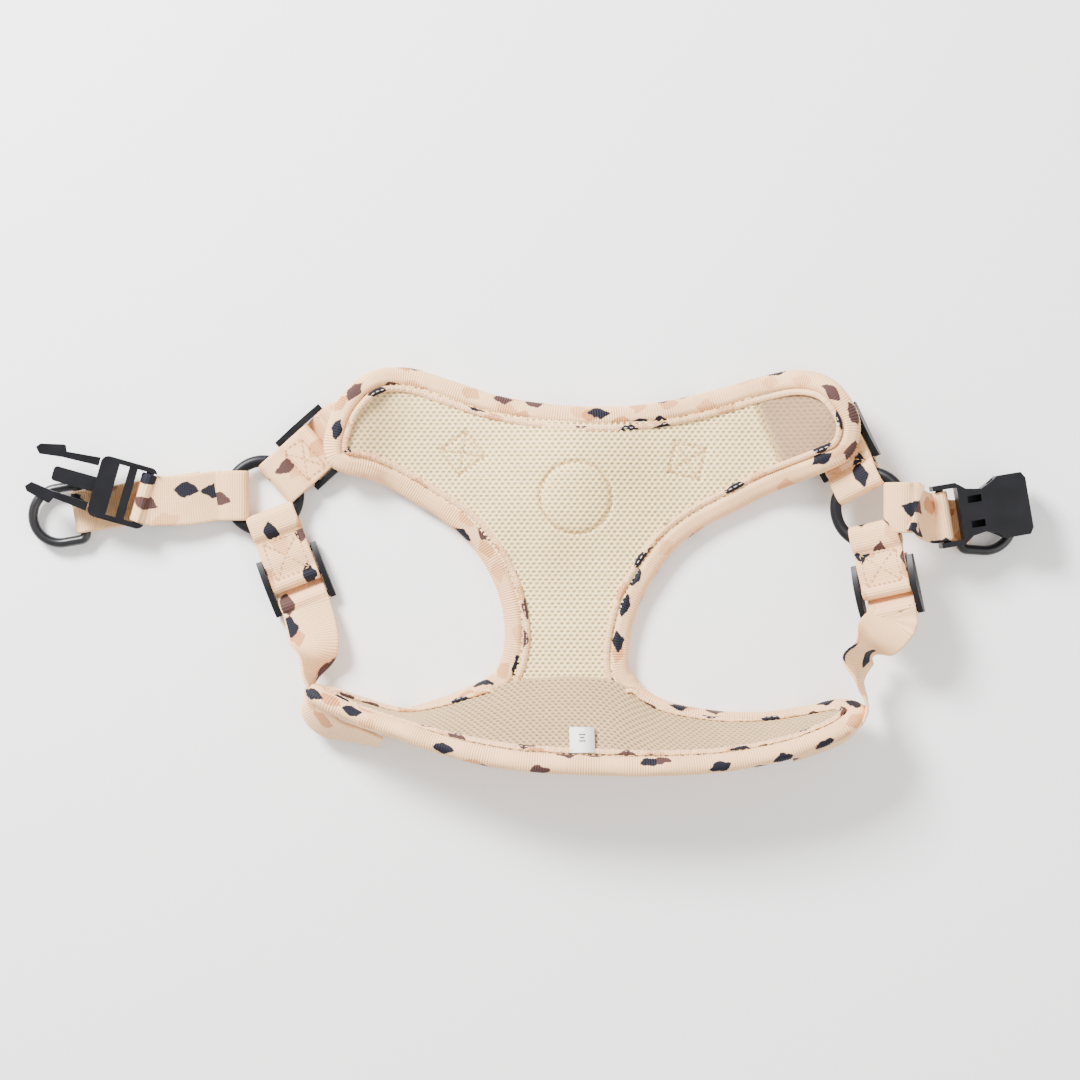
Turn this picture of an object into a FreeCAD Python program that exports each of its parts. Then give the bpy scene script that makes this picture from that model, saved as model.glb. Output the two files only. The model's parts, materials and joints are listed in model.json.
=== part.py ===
import FreeCAD, Part
import math
import os

# No-pull dog harness, laid out open with its padded lining upwards: a bone-shaped chest vest,
# webbing flanks with O-rings and tri-glides, and a back strap split by a side-release buckle.
# Millimetres, +Z up, floor at Z = 0, +Y towards the neck edge, +X towards the female buckle.

Vec = FreeCAD.Vector
Z_AXIS = Vec(0, 0, 1)

# ---- driving dimensions -------------------------------------------------------------------
vest_width = 204.4           # between the two shoulder tips
vest_length = 153.2          # neck edge to belly edge, laid out

webbing_width = 20.0
webbing_thickness = 1.4
webbing_play = 0.25          # gap between webbing and the metal or plastic that it runs on
slot_play = 0.5              # gap between a strap's selvedge and the end of a slot

shell_thickness = 0.8
foam_thickness = 3.0
lining_thickness = 1.6
binding_radius = 4.0

ring_radius = 14.0           # O-ring, to the middle of its rod
ring_rod_width = 4.7
ring_rod_height = 3.6

slider_length = 23.5
slider_rail_width = 2.3
slider_bar_radius = 1.3
slider_bar_pitch = 9.8
slider_rail_height = 3.2
slider_rail_crown = 1.6

leash_ring_width = 26.0
leash_ring_depth = 24.0
leash_ring_rod = 4.0
chest_ring_width = 22.0
chest_ring_depth = 18.0
chest_ring_rod = 3.4
ring_bend = 0.6              # inside radius of a D-ring's two corners

buckle_rail_width = 2.0
buckle_thickness = 6.0
male_base_length = 20.0
prong_length = 26.0
prong_thickness = 3.4
prong_gap = 0.5              # living-hinge slit between a prong and the buckle's base
prong_inset = 1.5            # prong's outer face, in from the buckle's side
female_length = 37.0
female_wall = 1.6
female_waist = 17.0

chest_strip_width = 12.5
chest_strip_thickness = 1.2
patch_radius = 15.6
patch_thickness = 1.4
joint_gap = 0.3
fold_bead = 0.2              # step between a sewn fold and the strap's own faces

neck_tab_length = 15.3       # middle of the O-ring's rod to the middle bar of a slider
left_girth_tab_length = 22.0
right_girth_tab_length = 19.0
ring_loop_length = 6.0       # middle of the O-ring's rod to the line where a back strap folds

left_ring_offset = (-29.4, -16.2)    # O-ring's middle from the vest's shoulder tip
right_ring_offset = (8.4, -21.2)
right_flank_tilt = 24.0      # how far the right flank leans up, degrees
right_flank_lift = 10.4      # how much higher its O-ring lies than the left one

left_angles = (42.0, -69.0, 180.0)         # neck, girth and back straps round each O-ring
right_angles = (116.0, -78.0, 0.0)

# Buckle halves and leash D-rings, each from its side's O-ring: middle of the bar, then its turn.
male_bar, male_yaw, male_pitch = (-47.7, -1.0, 9.0), 164.0, 10.0
female_bar, female_yaw = (29.7, -3.4, 12.9), 9.5
left_leash_bar, left_leash_yaw = (-73.0, -6.4, 4.1), 190.0
right_leash_bar, right_leash_yaw = (38.8, -5.4, 4.1), -4.0
left_leash_run = [(-26.8, 1.2, 4.0), (-38.8, -0.6, 3.6), (-50.8, -2.6, 2.6)]
right_leash_run = [(21.0, -3.2, 17.2), (24.6, -3.8, 9.0), (28.0, -4.4, 4.6)]
buckle_bar_radius = 1.6
leash_tab_width = 17.0

label_x, label_width, label_length, label_thickness = 20.6, 10.0, 13.0, 0.4
label_lift = 0.45            # how far the label's sewn end stands off the lining

# ---- derived values -----------------------------------------------------------------------
vest_thickness = shell_thickness + foam_thickness + lining_thickness
half_web = webbing_width / 2.0
slot_half = half_web + slot_play
buckle_width = 2.0 * (slot_half + buckle_rail_width)
neck_slider_reach = ring_radius + neck_tab_length
left_girth_slider_reach = ring_radius + left_girth_tab_length
right_girth_slider_reach = ring_radius + right_girth_tab_length
back_hinge_reach = ring_radius + ring_loop_length
loop_wall = webbing_play + webbing_thickness
tab_thickness = 2.0 * webbing_thickness
strap_level = webbing_thickness / 2.0 + 0.2
side_bar_level = strap_level + webbing_thickness / 2.0 + webbing_play + slider_bar_radius
middle_bar_level = (strap_level + webbing_thickness / 2.0 + webbing_play
                    + slider_bar_radius + loop_wall)
tab_level = side_bar_level + slider_bar_radius + webbing_play + tab_thickness / 2.0
ring_level = tab_level - 1.0
over_bar_level = side_bar_level + slider_bar_radius + webbing_play + webbing_thickness / 2.0



# ---- small helpers ------------------------------------------------------------------------
def box(x0, y0, z0, x1, y1, z1):
    return Part.makeBox(x1 - x0, y1 - y0, z1 - z0, Vec(x0, y0, z0))


def rod(start, end, radius):
    return Part.makeCylinder(radius, (end - start).Length, start, end - start)


def fuse(shapes):
    whole = shapes[0]
    if len(shapes) > 1:
        whole = shapes[0].multiFuse(shapes[1:])
    return whole.removeSplitter()


def prism(outline, low, high):
    """Closed outline of straight runs, pushed up from one level to another."""
    corners = [Vec(x, y, low) for x, y in outline]
    face = Part.Face(Part.makePolygon(corners + corners[:1]))
    return face.extrude(Vec(0, 0, high - low))


def rounded(shape, radius, axis):
    """Round the edges that run along one axis."""
    edges = []
    for edge in shape.Edges:
        run = edge.Vertexes[-1].Point - edge.Vertexes[0].Point
        if run.Length > 1e-6 and abs(run.normalize().dot(axis)) > 0.999:
            edges.append(edge)
    return shape.makeFillet(radius, edges)


def smooth_run(points, steps):
    """Points of a Catmull-Rom curve through a list of vectors."""
    run = []
    last = len(points) - 1
    for index in range(last):
        p0, p1 = points[max(index - 1, 0)], points[index]
        p2, p3 = points[index + 1], points[min(index + 2, last)]
        for step in range(steps):
            t = step / float(steps)
            run.append((p1 * 2.0 + (p2 - p0) * t + (p0 * 2.0 - p1 * 5.0 + p2 * 4.0 - p3) * t ** 2
                        + (p1 * 3.0 - p0 - p2 * 3.0 + p3) * t ** 3) * 0.5)
    return run + [points[last]]


def ribbon(stations, thickness, width=webbing_width, steps=4):
    """Webbing lofted through (centre, width direction) stations."""
    centres = smooth_run([centre for centre, across in stations], steps)
    sides = smooth_run([across.normalize() for centre, across in stations], steps)
    wires = []
    last = len(centres) - 1
    for index, centre in enumerate(centres):
        ahead = centres[min(index + 1, last)] - centres[max(index - 1, 0)]
        normal = ahead.cross(sides[index])
        up = normal.normalize() * (thickness / 2.0)
        side = Vec(sides[index]).normalize() * (width / 2.0)
        corners = [centre + side + up, centre - side + up, centre - side - up, centre + side - up]
        wires.append(Part.makePolygon(corners + corners[:1]))
    solid = Part.makeLoft(wires, True, True)
    if solid.Volume < 0:
        solid.reverse()
    return solid


def placed(shape, *placements):
    moved = shape.copy()
    for placement in placements:
        moved.Placement = placement.multiply(moved.Placement)
    return moved


def turned(angle):
    return FreeCAD.Placement(Vec(0, 0, 0), FreeCAD.Rotation(Z_AXIS, angle))


def d_ring(width, depth, rod_diameter):
    """A D in the XY plane: straight bar along Y at X = 0, bent corners, round bow towards +X."""
    radius = rod_diameter / 2.0
    half = width / 2.0 - radius
    bend = radius + ring_bend
    turn = depth - rod_diameter - half

    def disc(x, y, normal):
        return Part.Face(Part.Wire(Part.makeCircle(radius, Vec(x, y, 0), normal)))

    solids = [disc(turn, -half, Vec(1, 0, 0)).revolve(Vec(turn, 0, 0), Z_AXIS, 180),
              disc(0, bend - half, Vec(0, 1, 0)).extrude(Vec(0, 2.0 * (half - bend), 0))]
    for side in (-1.0, 1.0):
        end = disc(bend, side * half, Vec(1, 0, 0))
        solids.append(end.extrude(Vec(turn - bend, 0, 0)))
        solids.append(end.revolve(Vec(bend, side * (half - bend), 0), Z_AXIS, side * 90))
    return fuse(solids)


# ---- the padded vest ----------------------------------------------------------------------
drawn_width, drawn_length = 204.4, 153.2   # vest size that the pattern's points were drawn for


def pattern(points):
    """Points of the vest's paper pattern, brought to its width and length; heights stay."""
    wider, longer = vest_width / drawn_width, vest_length / drawn_length
    return [(point[0] * wider, point[1] * longer, *point[2:]) for point in points]


neck_edge = pattern([(-76.8, 46.0), (-76.8, 53.2), (-73.2, 63.6), (-66.8, 72.0), (-60.0, 76.2), (-52.0, 77.2),
                     (-44.0, 76.0), (-32.0, 72.0), (-8.4, 64.8), (19.2, 61.2), (46.4, 62.0), (72.8, 67.2),
                     (95.2, 73.6), (108.4, 75.4), (118.8, 72.0), (126.0, 63.0), (127.6, 54.8), (124.4, 47.2)])
right_armhole = pattern([(116.0, 42.8), (96.0, 34.8), (82.8, 28.0), (68.8, 20.8), (57.0, 12.0), (47.0, -1.0),
                         (39.6, -16.0), (36.2, -33.0), (38.5, -44.0)])
left_armhole = pattern([(-9.2, -43.2), (-5.0, -28.0), (-7.4, -10.0), (-15.2, 6.8), (-26.0, 19.2),
                        (-42.4, 30.0), (-55.0, 37.4), (-64.0, 41.0), (-72.0, 42.6)])
# Belly band: each station gives its armhole edge and its belly edge.
band_stations = [pattern(pair) for pair in [
    ((-78.0, -50.0, 13.5), (-79.0, -51.5, 27.5)), ((-66.0, -54.5, 8.0), (-66.0, -57.5, 29.0)),
    ((-50.0, -58.6, 6.0), (-52.0, -62.0, 31.0)), ((-36.0, -55.4, 5.2), (-37.0, -67.0, 33.0)),
    ((-20.0, -49.4, 4.4), (-21.0, -71.2, 35.0)), ((0.0, -44.0, 4.0), (0.0, -74.4, 36.0)),
    ((32.0, -44.0, 4.0), (33.0, -76.0, 36.0)), ((52.0, -55.0, 4.4), (54.0, -76.2, 35.5)),
    ((74.0, -60.0, 5.0), (76.0, -75.0, 34.0)), ((95.0, -60.4, 6.0), (97.0, -71.5, 33.0)),
    ((112.0, -57.8, 8.5), (112.0, -67.0, 31.5)), ((124.0, -55.0, 13.0), (124.5, -61.5, 28.5))]]
left_band_tip, right_band_tip = pattern([(-84.0, -48.6, 20.5), (130.0, -56.5, 21.0)])
left_shoulder, right_shoulder = pattern([(-76.8, 46.0), (127.6, 46.0)])
left_curl, right_curl = pattern([(-62.0, 46.0), (108.0, 46.0)])
dome_middle, patch_centre, chest_bar_place = pattern([(19.0, 48.0), (19.2, 29.0), (19.0, 50.9)])
chest_strip_line = pattern([(-31.0, 43.2), (-26.0, 46.9), (-8.0, 51.0), (19.0, 51.0), (46.0, 47.6),
                            (64.0, 43.9), (69.0, 42.7)])


def vest_height(x, y):
    """Mid-plane of the yoke: domed over the chest ring, curled up at both shoulder tips."""
    from_dome = (x - dome_middle[0]) ** 2 + (y - dome_middle[1]) ** 2
    dome = 7.4 * math.exp(-from_dome / (2.0 * 21.0 ** 2))
    left = 8.4 / (1.0 + math.exp((x - left_curl[0]) / 4.5))
    right = 16.2 / (1.0 + math.exp((right_curl[0] - x) / 6.0))
    return binding_radius + dome + left + right


def yoke_sheet(low, thickness):
    """Curved sheet at a level above the yoke's middle, wider than the vest."""
    grid = [pattern([(-90.0 + 10.0 * i, -60.0 + 10.0 * j) for j in range(16)]) for i in range(24)]
    sheet = Part.BSplineSurface()
    sheet.interpolate([[Vec(x, y, vest_height(x, y) + low) for x, y in column] for column in grid])
    return sheet.toShape().extrude(Vec(0, 0, thickness))


def yoke_layer(low, thickness):
    """One layer of the yoke and waist, cut from a curved sheet by the vest's outline."""
    points = [Vec(x, y, -5.0) for x, y in left_armhole + neck_edge + right_armhole]
    side = Part.BSplineCurve()
    side.interpolate(points)
    into_band = Vec(0, -binding_radius, 0)
    first, last = points[0], points[-1]
    foot = [last, last + into_band, first + into_band, first]
    wire = Part.Wire([side.toShape()] + Part.makePolygon(foot).Edges)
    return Part.Face(wire).extrude(Vec(0, 0, 60.0)).common(yoke_sheet(low, thickness))


def band_layer(low, thickness):
    """One layer of the belly band, lofted between its two edges."""
    wires = []
    for armhole, belly in band_stations:
        start, end = Vec(*armhole), Vec(*belly)
        rise = end - start
        normal = Vec(0, rise.z, -rise.y)
        normal.normalize()
        corners = [start + normal * low, end + normal * low,
                   end + normal * (low + thickness), start + normal * (low + thickness)]
        wires.append(Part.makePolygon(corners + corners[:1]))
    return Part.makeLoft(wires, True, False)


def vest_layer(low, thickness):
    return fuse([yoke_layer(low, thickness), band_layer(low, thickness)])


def edge_loop():
    """Middle line of the edge binding all round the vest."""
    def on_yoke(points):
        return [Vec(x, y, vest_height(x, y)) for x, y in points]
    band = [(Vec(*armhole), Vec(*belly)) for armhole, belly in band_stations]
    left = [pair[0] for pair in band[:5]]
    right = [pair[0] for pair in band[7:]]
    belly = [pair[1] for pair in band]
    return (on_yoke(neck_edge) + on_yoke(right_armhole) + right + [Vec(*right_band_tip)]
            + belly[::-1] + [Vec(*left_band_tip)] + left + on_yoke(left_armhole))


def edge_binding():
    points = edge_loop()
    curve = Part.BSplineCurve()
    curve.interpolate(points, PeriodicFlag=True)
    parts = []
    runs = 4
    span = (curve.LastParameter - curve.FirstParameter) / runs
    for index in range(runs):
        start = curve.FirstParameter + span * index
        piece = curve.toBSpline(start, start + span).toShape()
        tangent = piece.tangentAt(piece.FirstParameter)
        circle = Part.makeCircle(binding_radius, piece.valueAt(piece.FirstParameter), tangent)
        parts.append(Part.Wire(piece).makePipeShell([Part.Wire(circle)], True, False))
    return fuse(parts)


# ---- webbing tabs and sliders, in a flank's own frame -------------------------------------
def ring_hole():
    """Slot that a webbing loop leaves round the O-ring's curved rod."""
    inner = math.sqrt(ring_radius ** 2 - half_web ** 2) - ring_rod_width / 2.0 - webbing_play
    outer = ring_radius + ring_rod_width / 2.0 + webbing_play
    half_high = ring_rod_height / 2.0 + webbing_play
    return inner, outer, half_high


def loop_block(inner, outer, half_high, grow):
    """Stadium block across the webbing, at the O-ring's level."""
    radius = half_high + grow
    first = inner + half_high
    last = outer - half_high
    wide = half_web if grow else half_web + 1.0
    ends = [rod(Vec(s, -wide, ring_level), Vec(s, wide, ring_level), radius) for s in (first, last)]
    body = box(first, -wide, ring_level - radius, last, wide, ring_level + radius)
    return fuse(ends + [body])


def ring_loop_end(reach):
    """Folded webbing on the O-ring, with its sewn legs running out to reach."""
    inner, outer, half_high = ring_hole()
    legs = box(outer - half_high, -half_web, ring_level - tab_thickness / 2.0,
               reach, half_web, ring_level + tab_thickness / 2.0)
    solid = fuse([loop_block(inner, outer, half_high, webbing_thickness), legs])
    return solid.cut(loop_block(inner, outer, half_high, 0.0)).cut(o_ring(webbing_play))


def slider_tab(reach):
    """Webbing tab from the O-ring to a slider's middle bar, folded round both."""
    inner, outer, half_high = ring_hole()
    bar = Vec(reach, 0, middle_bar_level)
    side = Vec(reach - slider_bar_pitch, 0, tab_level)
    start = Vec(outer - half_high, 0, ring_level)
    half = tab_thickness / 2.0
    strip = []
    for point in (start, side, bar):
        strip.append(point + Vec(0, 0, half))
    for point in (bar, side, start):
        strip.append(point - Vec(0, 0, half))
    across = Vec(0, half_web, 0)
    face = Part.Face(Part.makePolygon([point - across for point in strip + strip[:1]]))
    legs = face.extrude(across * 2.0)
    eye = rod(bar - across, bar + across, slider_bar_radius + loop_wall)
    solid = fuse([loop_block(inner, outer, half_high, webbing_thickness), legs, eye])
    beyond = across * 1.1
    solid = solid.cut(rod(bar - beyond, bar + beyond, slider_bar_radius + webbing_play))
    return solid.cut(loop_block(inner, outer, half_high, 0.0)).cut(o_ring(webbing_play))


def tri_glide(reach):
    """Three-bar slider centred on its middle bar, with arched side rails."""
    low = side_bar_level - slider_bar_radius
    top = low + slider_rail_height
    left, right = reach - slider_length / 2.0, reach + slider_length / 2.0
    rails = []
    for base in (-slot_half - slider_rail_width, slot_half):
        corner = [Vec(left, base, low), Vec(right, base, low), Vec(right, base, top - 0.6)]
        arc = Part.Arc(Vec(right, base, top - 0.6), Vec(reach, base, top + slider_rail_crown),
                       Vec(left, base, top - 0.6)).toShape()
        edges = Part.makePolygon(corner).Edges + [arc, Part.makeLine(Vec(left, base, top - 0.6), corner[0])]
        rails.append(Part.Face(Part.Wire(edges)).extrude(Vec(0, slider_rail_width, 0)))
    bars = []
    end = slot_half + slider_rail_width / 2.0
    for offset, level in ((-slider_bar_pitch, side_bar_level), (0.0, middle_bar_level),
                          (slider_bar_pitch, side_bar_level)):
        bars.append(rod(Vec(reach + offset, -end, level), Vec(reach + offset, end, level), slider_bar_radius))
    return fuse(rails + bars)


def o_ring(grow=0.0):
    half_wide, half_high = ring_rod_width / 2.0 + grow, ring_rod_height / 2.0 + grow
    ellipse = Part.Ellipse(Vec(0, 0, 0), half_wide, half_high)
    section = ellipse.toShape()
    section.Placement = FreeCAD.Placement(Vec(ring_radius, 0, ring_level),
                                          FreeCAD.Rotation(Vec(1, 0, 0), 90))
    return Part.Face(Part.Wire(section)).revolve(Vec(0, 0, 0), Z_AXIS, 360)


def slider_path(reach):
    """Centres of a long strap through a slider: under two bars and over the outer one."""
    outer = reach + slider_bar_pitch
    return [Vec(reach - slider_bar_pitch - 3.0, 0, strap_level), Vec(reach, 0, strap_level),
            Vec(reach + 3.0, 0, strap_level + 0.15), Vec(outer - 2.0, 0, over_bar_level + 0.25),
            Vec(outer + 0.5, 0, over_bar_level + 0.15), Vec(outer + 3.0, 0, over_bar_level)]


def long_strap(flank, angle, reach, beyond):
    """Neck or girth strap: its slider run in the flank's frame, then free stations."""
    local = flank.multiply(turned(angle))
    across = local.Rotation.multVec(Vec(0, 1, 0))
    stations = [(local.multVec(point), across) for point in slider_path(reach)]
    return ribbon(stations + beyond, webbing_thickness)


def flank_frame(centre, tilt, lift):
    """Placement whose Z = ring_level plane carries the O-ring."""
    turn = FreeCAD.Rotation(Vec(0, -1, 0), tilt)
    middle = centre + Vec(0, 0, ring_level + lift)
    return FreeCAD.Placement(middle - turn.multVec(Vec(0, 0, ring_level)), turn)


left_ring_spot = Vec(left_shoulder[0] + left_ring_offset[0], left_shoulder[1] + left_ring_offset[1], 0)
right_ring_spot = Vec(right_shoulder[0] + right_ring_offset[0], right_shoulder[1] + right_ring_offset[1], 0)
left_flank = flank_frame(left_ring_spot, 0.0, 0.0)
right_flank = flank_frame(right_ring_spot, right_flank_tilt, right_flank_lift)


def under_yoke(x, y):
    """A point just under the vest's outer shell."""
    gap = vest_thickness / 2.0 + webbing_thickness / 2.0 + 0.15
    return Vec(x, y, vest_height(x, y) - gap)


# ---- buckle -------------------------------------------------------------------------------
def buckle_bar():
    end = Vec(0, slot_half + buckle_rail_width / 4.0, 0)
    return rod(end * -1.0, end, buckle_bar_radius)


def male_base():
    """Ladder base of the male half: rear bar at X = 0, prong roots at X = male_base_length."""
    half = buckle_width / 2.0
    thick = buckle_thickness / 2.0
    frame = box(-3.0, -half, -thick, male_base_length, half, thick)
    frame = rounded(frame, 3.0, Vec(0, 0, 1))
    rear = box(-4.0, -slot_half, -thick - 1, 3.6 + loop_wall, slot_half, thick + 1)
    slit = box(8.6, -slot_half, -thick - 1, 12.6, slot_half, thick + 1)
    frame = frame.cut(rear).cut(slit)
    guide = box(male_base_length - 1.0, -3.0, -1.8, male_base_length + 17.0, 3.0, 1.8)
    guide = rounded(guide, 1.5, Vec(0, 0, 1))
    return fuse([frame, buckle_bar(), guide])


def prong(side):
    """One flexing latch prong: root at the base's front face, barbed head outwards."""
    root = male_base_length + prong_gap
    far = male_base_length + prong_length
    outer = buckle_width / 2.0 - prong_inset
    inner = outer - prong_thickness
    outline = [(root, inner), (far - 11.0, inner - 0.6), (far - 2.0, inner - 1.8), (far, inner + 0.4),
               (far - 1.2, outer - 1.2), (far - 10.0, outer + 1.0), (far - 11.0, outer + 0.9),
               (far - 12.0, outer - 1.4), (root, outer)]
    return prism([(x, y * side) for x, y in outline], -2.6, 2.6)


def female_body():
    """Hollow female half: rear bar at X = 0, mouth at X = female_length."""
    half = buckle_width / 2.0
    waist = female_waist / 2.0
    thick = buckle_thickness / 2.0 + female_wall
    outline = [(0.0, -half), (9.0, -half), (13.0, -waist - 1.0), (19.0, -waist), (23.0, -waist - 2.0),
               (26.0, -half), (female_length - 1.5, -half), (female_length, -half + 2.5),
               (female_length, half - 2.5), (female_length - 1.5, half), (26.0, half), (23.0, waist + 2.0),
               (19.0, waist), (13.0, waist + 1.0), (9.0, half), (0.0, half)]
    body = prism([(x - 3.0, y) for x, y in outline], -thick, thick)
    body = body.cut(box(-4.0, -slot_half, -thick - 1, 6.4, slot_half, thick + 1))
    mouth = box(22.0, -half + female_wall, -thick + female_wall, female_length + 1,
                half - female_wall, thick - female_wall)
    throat = box(9.0, -waist + female_wall, -thick + female_wall, 23.0,
                 waist - female_wall, thick - female_wall)
    body = body.cut(mouth).cut(throat)
    for side in (-1.0, 1.0):
        window = box(10.0, side * 5.0 - 1.4, 0, 15.5, side * 5.0 + 1.4, thick + 1)
        body = body.cut(window)
        relief = box(19.0, side * half - 4.5, -thick + female_wall, 22.0, side * half + 4.5,
                     thick - female_wall)
        body = body.cut(relief)
    return fuse([body, buckle_bar()])


def eye_leg(bar_radius, back, thickness, half_width):
    """Webbing folded round a bar at X = 0, with its legs running back along -X."""
    across = Vec(0, half_width, 0)
    wider = across * 1.1
    inset = half_width - fold_bead
    level = thickness / 2.0 - fold_bead
    legs = box(-back, -inset, -level, 0, inset, level)
    loop = rod(-across, across, bar_radius + loop_wall)
    return fuse([legs, loop]).cut(rod(-wider, wider, bar_radius + webbing_play))


def back_strap(hinge, buckle):
    """Sewn double webbing from a back strap's fold line to a buckle's rear bar."""
    half = Vec(0, half_web, 0)
    axle = rod(hinge - half, hinge + half, tab_thickness / 2.0 + fold_bead)
    back = 5.0
    eye = placed(eye_leg(buckle_bar_radius, back, tab_thickness, half_web), buckle)
    near = buckle.multVec(Vec(2.0 - back, 0, 0))
    side = buckle.Rotation.multVec(Vec(0, 1, 0)) * half_web
    if side.y < 0:
        side = side * -1.0
    slope = (near.z - hinge.z) / (near.x - hinge.x)
    outline = [hinge - half, hinge + half, near + side, near - side]
    corners = [Vec(point.x, point.y, hinge.z + (point.x - hinge.x) * slope) for point in outline]
    normal = Vec(-slope, 0, 1).normalize() * (tab_thickness / 2.0)
    face = Part.Face(Part.makePolygon([corner - normal for corner in corners + corners[:1]]))
    return fuse([axle, face.extrude(normal * 2.0), eye])


def leash_tab(stations, ring):
    """Lower webbing layer: sewn under the back strap and folded round the D-ring's bar."""
    back = 6.0
    eye = placed(eye_leg(leash_ring_rod / 2.0, back, webbing_thickness, leash_tab_width / 2.0), ring)
    across = ring.Rotation.multVec(Vec(0, 1, 0))
    points = stations + [ring.multVec(Vec(-back, 0, 0)), ring.multVec(Vec(1.0 - back, 0, 0))]
    leg = ribbon([(point, Vec(across)) for point in points], webbing_thickness, leash_tab_width)
    return fuse([leg, eye])


# ---- chest hardware and label -------------------------------------------------------------
def chest_strip():
    """Webbing arched over the patch, sewn down at both ends and holding the chest ring."""
    line = smooth_run([Vec(x, y, -5.0) for x, y in chest_strip_line], 4)
    last = len(line) - 1
    above, below = [], []
    for index, point in enumerate(line):
        along = (line[min(index + 1, last)] - line[max(index - 1, 0)]).normalize()
        side = Vec(-along.y, along.x, 0) * (chest_strip_width / 2.0)
        above.append(point + side)
        below.append(point - side)
    corners = above + below[::-1]
    cutter = Part.Face(Part.makePolygon(corners + corners[:1])).extrude(Vec(0, 0, 60.0))
    return yoke_sheet(-vest_thickness / 2.0 - chest_strip_thickness, chest_strip_thickness).common(cutter)


def chest_patch():
    cutter = Part.makeCylinder(patch_radius, 60.0, Vec(*patch_centre, -5.0))
    return yoke_sheet(-vest_thickness / 2.0 - patch_thickness, patch_thickness).common(cutter)


def size_label():
    """Woven label sewn in at the belly binding, lying on the lining."""
    armhole, belly = [Vec(*point) for point in pattern([(label_x, -44.0, 4.0), (label_x, -75.5, 36.0)])]
    down = armhole - belly
    down.normalize()
    normal = Vec(0, -down.z, down.y)
    normal.normalize()
    level = vest_thickness / 2.0 + label_lift
    start = belly + down * binding_radius + normal * level
    end = start + down * label_length
    half = Vec(label_width / 2.0, 0, 0)
    corners = [start - half, start + half, end + half, end - half]
    return Part.Face(Part.makePolygon(corners + corners[:1])).extrude(normal * label_thickness)


def hinge_point(flank, angle):
    return flank.multVec(turned(angle).multVec(Vec(back_hinge_reach, 0, ring_level)))


# ---- places of the moving hardware --------------------------------------------------------
left_hinge = hinge_point(left_flank, left_angles[2])
right_hinge = hinge_point(right_flank, right_angles[2])
male_place = FreeCAD.Placement(left_ring_spot + Vec(*male_bar), FreeCAD.Rotation(male_yaw, -male_pitch, 0))
female_place = FreeCAD.Placement(right_ring_spot + Vec(*female_bar), FreeCAD.Rotation(female_yaw, 0, 0))
left_leash_place = FreeCAD.Placement(left_ring_spot + Vec(*left_leash_bar),
                                     FreeCAD.Rotation(left_leash_yaw, 0, 0))
right_leash_place = FreeCAD.Placement(right_ring_spot + Vec(*right_leash_bar),
                                      FreeCAD.Rotation(right_leash_yaw, 0, 0))
left_leash_stations = [left_ring_spot + Vec(*point) for point in left_leash_run]
right_leash_stations = [right_ring_spot + Vec(*point) for point in right_leash_run]
keeper_radius = chest_ring_rod / 2.0 + webbing_play + chest_strip_thickness
chest_bar_level = (vest_height(*chest_bar_place) - vest_thickness / 2.0
                   - chest_strip_thickness - 0.25 - keeper_radius)
chest_ring_place = FreeCAD.Placement(Vec(*chest_bar_place, chest_bar_level),
                                     FreeCAD.Rotation(-90.0, 0, 0))


def chest_keeper():
    half = chest_strip_width / 2.0
    top = keeper_radius + 0.3
    loop = rod(Vec(0, -half, 0), Vec(0, half, 0), keeper_radius)
    pad = box(-keeper_radius, -half, keeper_radius - chest_strip_thickness, keeper_radius, half, top)
    hole = rod(Vec(0, -half - 1, 0), Vec(0, half + 1, 0), chest_ring_rod / 2.0 + webbing_play)
    return placed(fuse([loop, pad]).cut(hole), chest_ring_place)


def neck_end(points, across):
    """Sewn end of a neck strap under the yoke: its stations with their width direction."""
    return [(under_yoke(x, y), Vec(*across)) for x, y in pattern(points)]


def girth_end(points, directions):
    """Free run of a girth strap down to the belly band, with its width direction at each station."""
    return [(Vec(*point), Vec(*across)) for point, across in zip(pattern(points), directions)]


left_neck_stations = neck_end([(-62.0, 61.0), (-53.0, 61.0)], (-0.2, 1, 0))
right_neck_stations = neck_end([(108.0, 58.0), (97.0, 57.0)], (-0.05, -1, 0))
left_girth_stations = girth_end(
    [(-85.6, -29.0, 9.0), (-87.4, -44.0, 14.5), (-85.0, -55.6, 16.0), (-78.0, -62.6, 16.0),
     (-68.0, -65.5, 15.5), (-58.0, -68.5, 15.0)],
    [(0.62, 0.72, -0.3), (0.1, 0.2, -0.97), (-0.62, 0.0, -0.78), (-0.62, -0.2, -0.75),
     (-0.3, -0.3, -0.9), (-0.05, -0.25, -0.95)])
right_girth_stations = girth_end(
    [(138.5, -27.0, 18.0), (131.8, -34.5, 16.5), (131.8, -44.0, 17.5), (134.4, -55.0, 18.5),
     (127.0, -65.6, 18.0), (105.0, -73.5, 17.0)],
    [(0.9, 0.4, 0.1), (0.7, 0.55, -0.45), (0.2, 0.2, -0.95), (0.1, 0.0, -1.0),
     (0.0, -0.25, -0.95), (0.0, -0.35, -0.93)])


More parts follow.
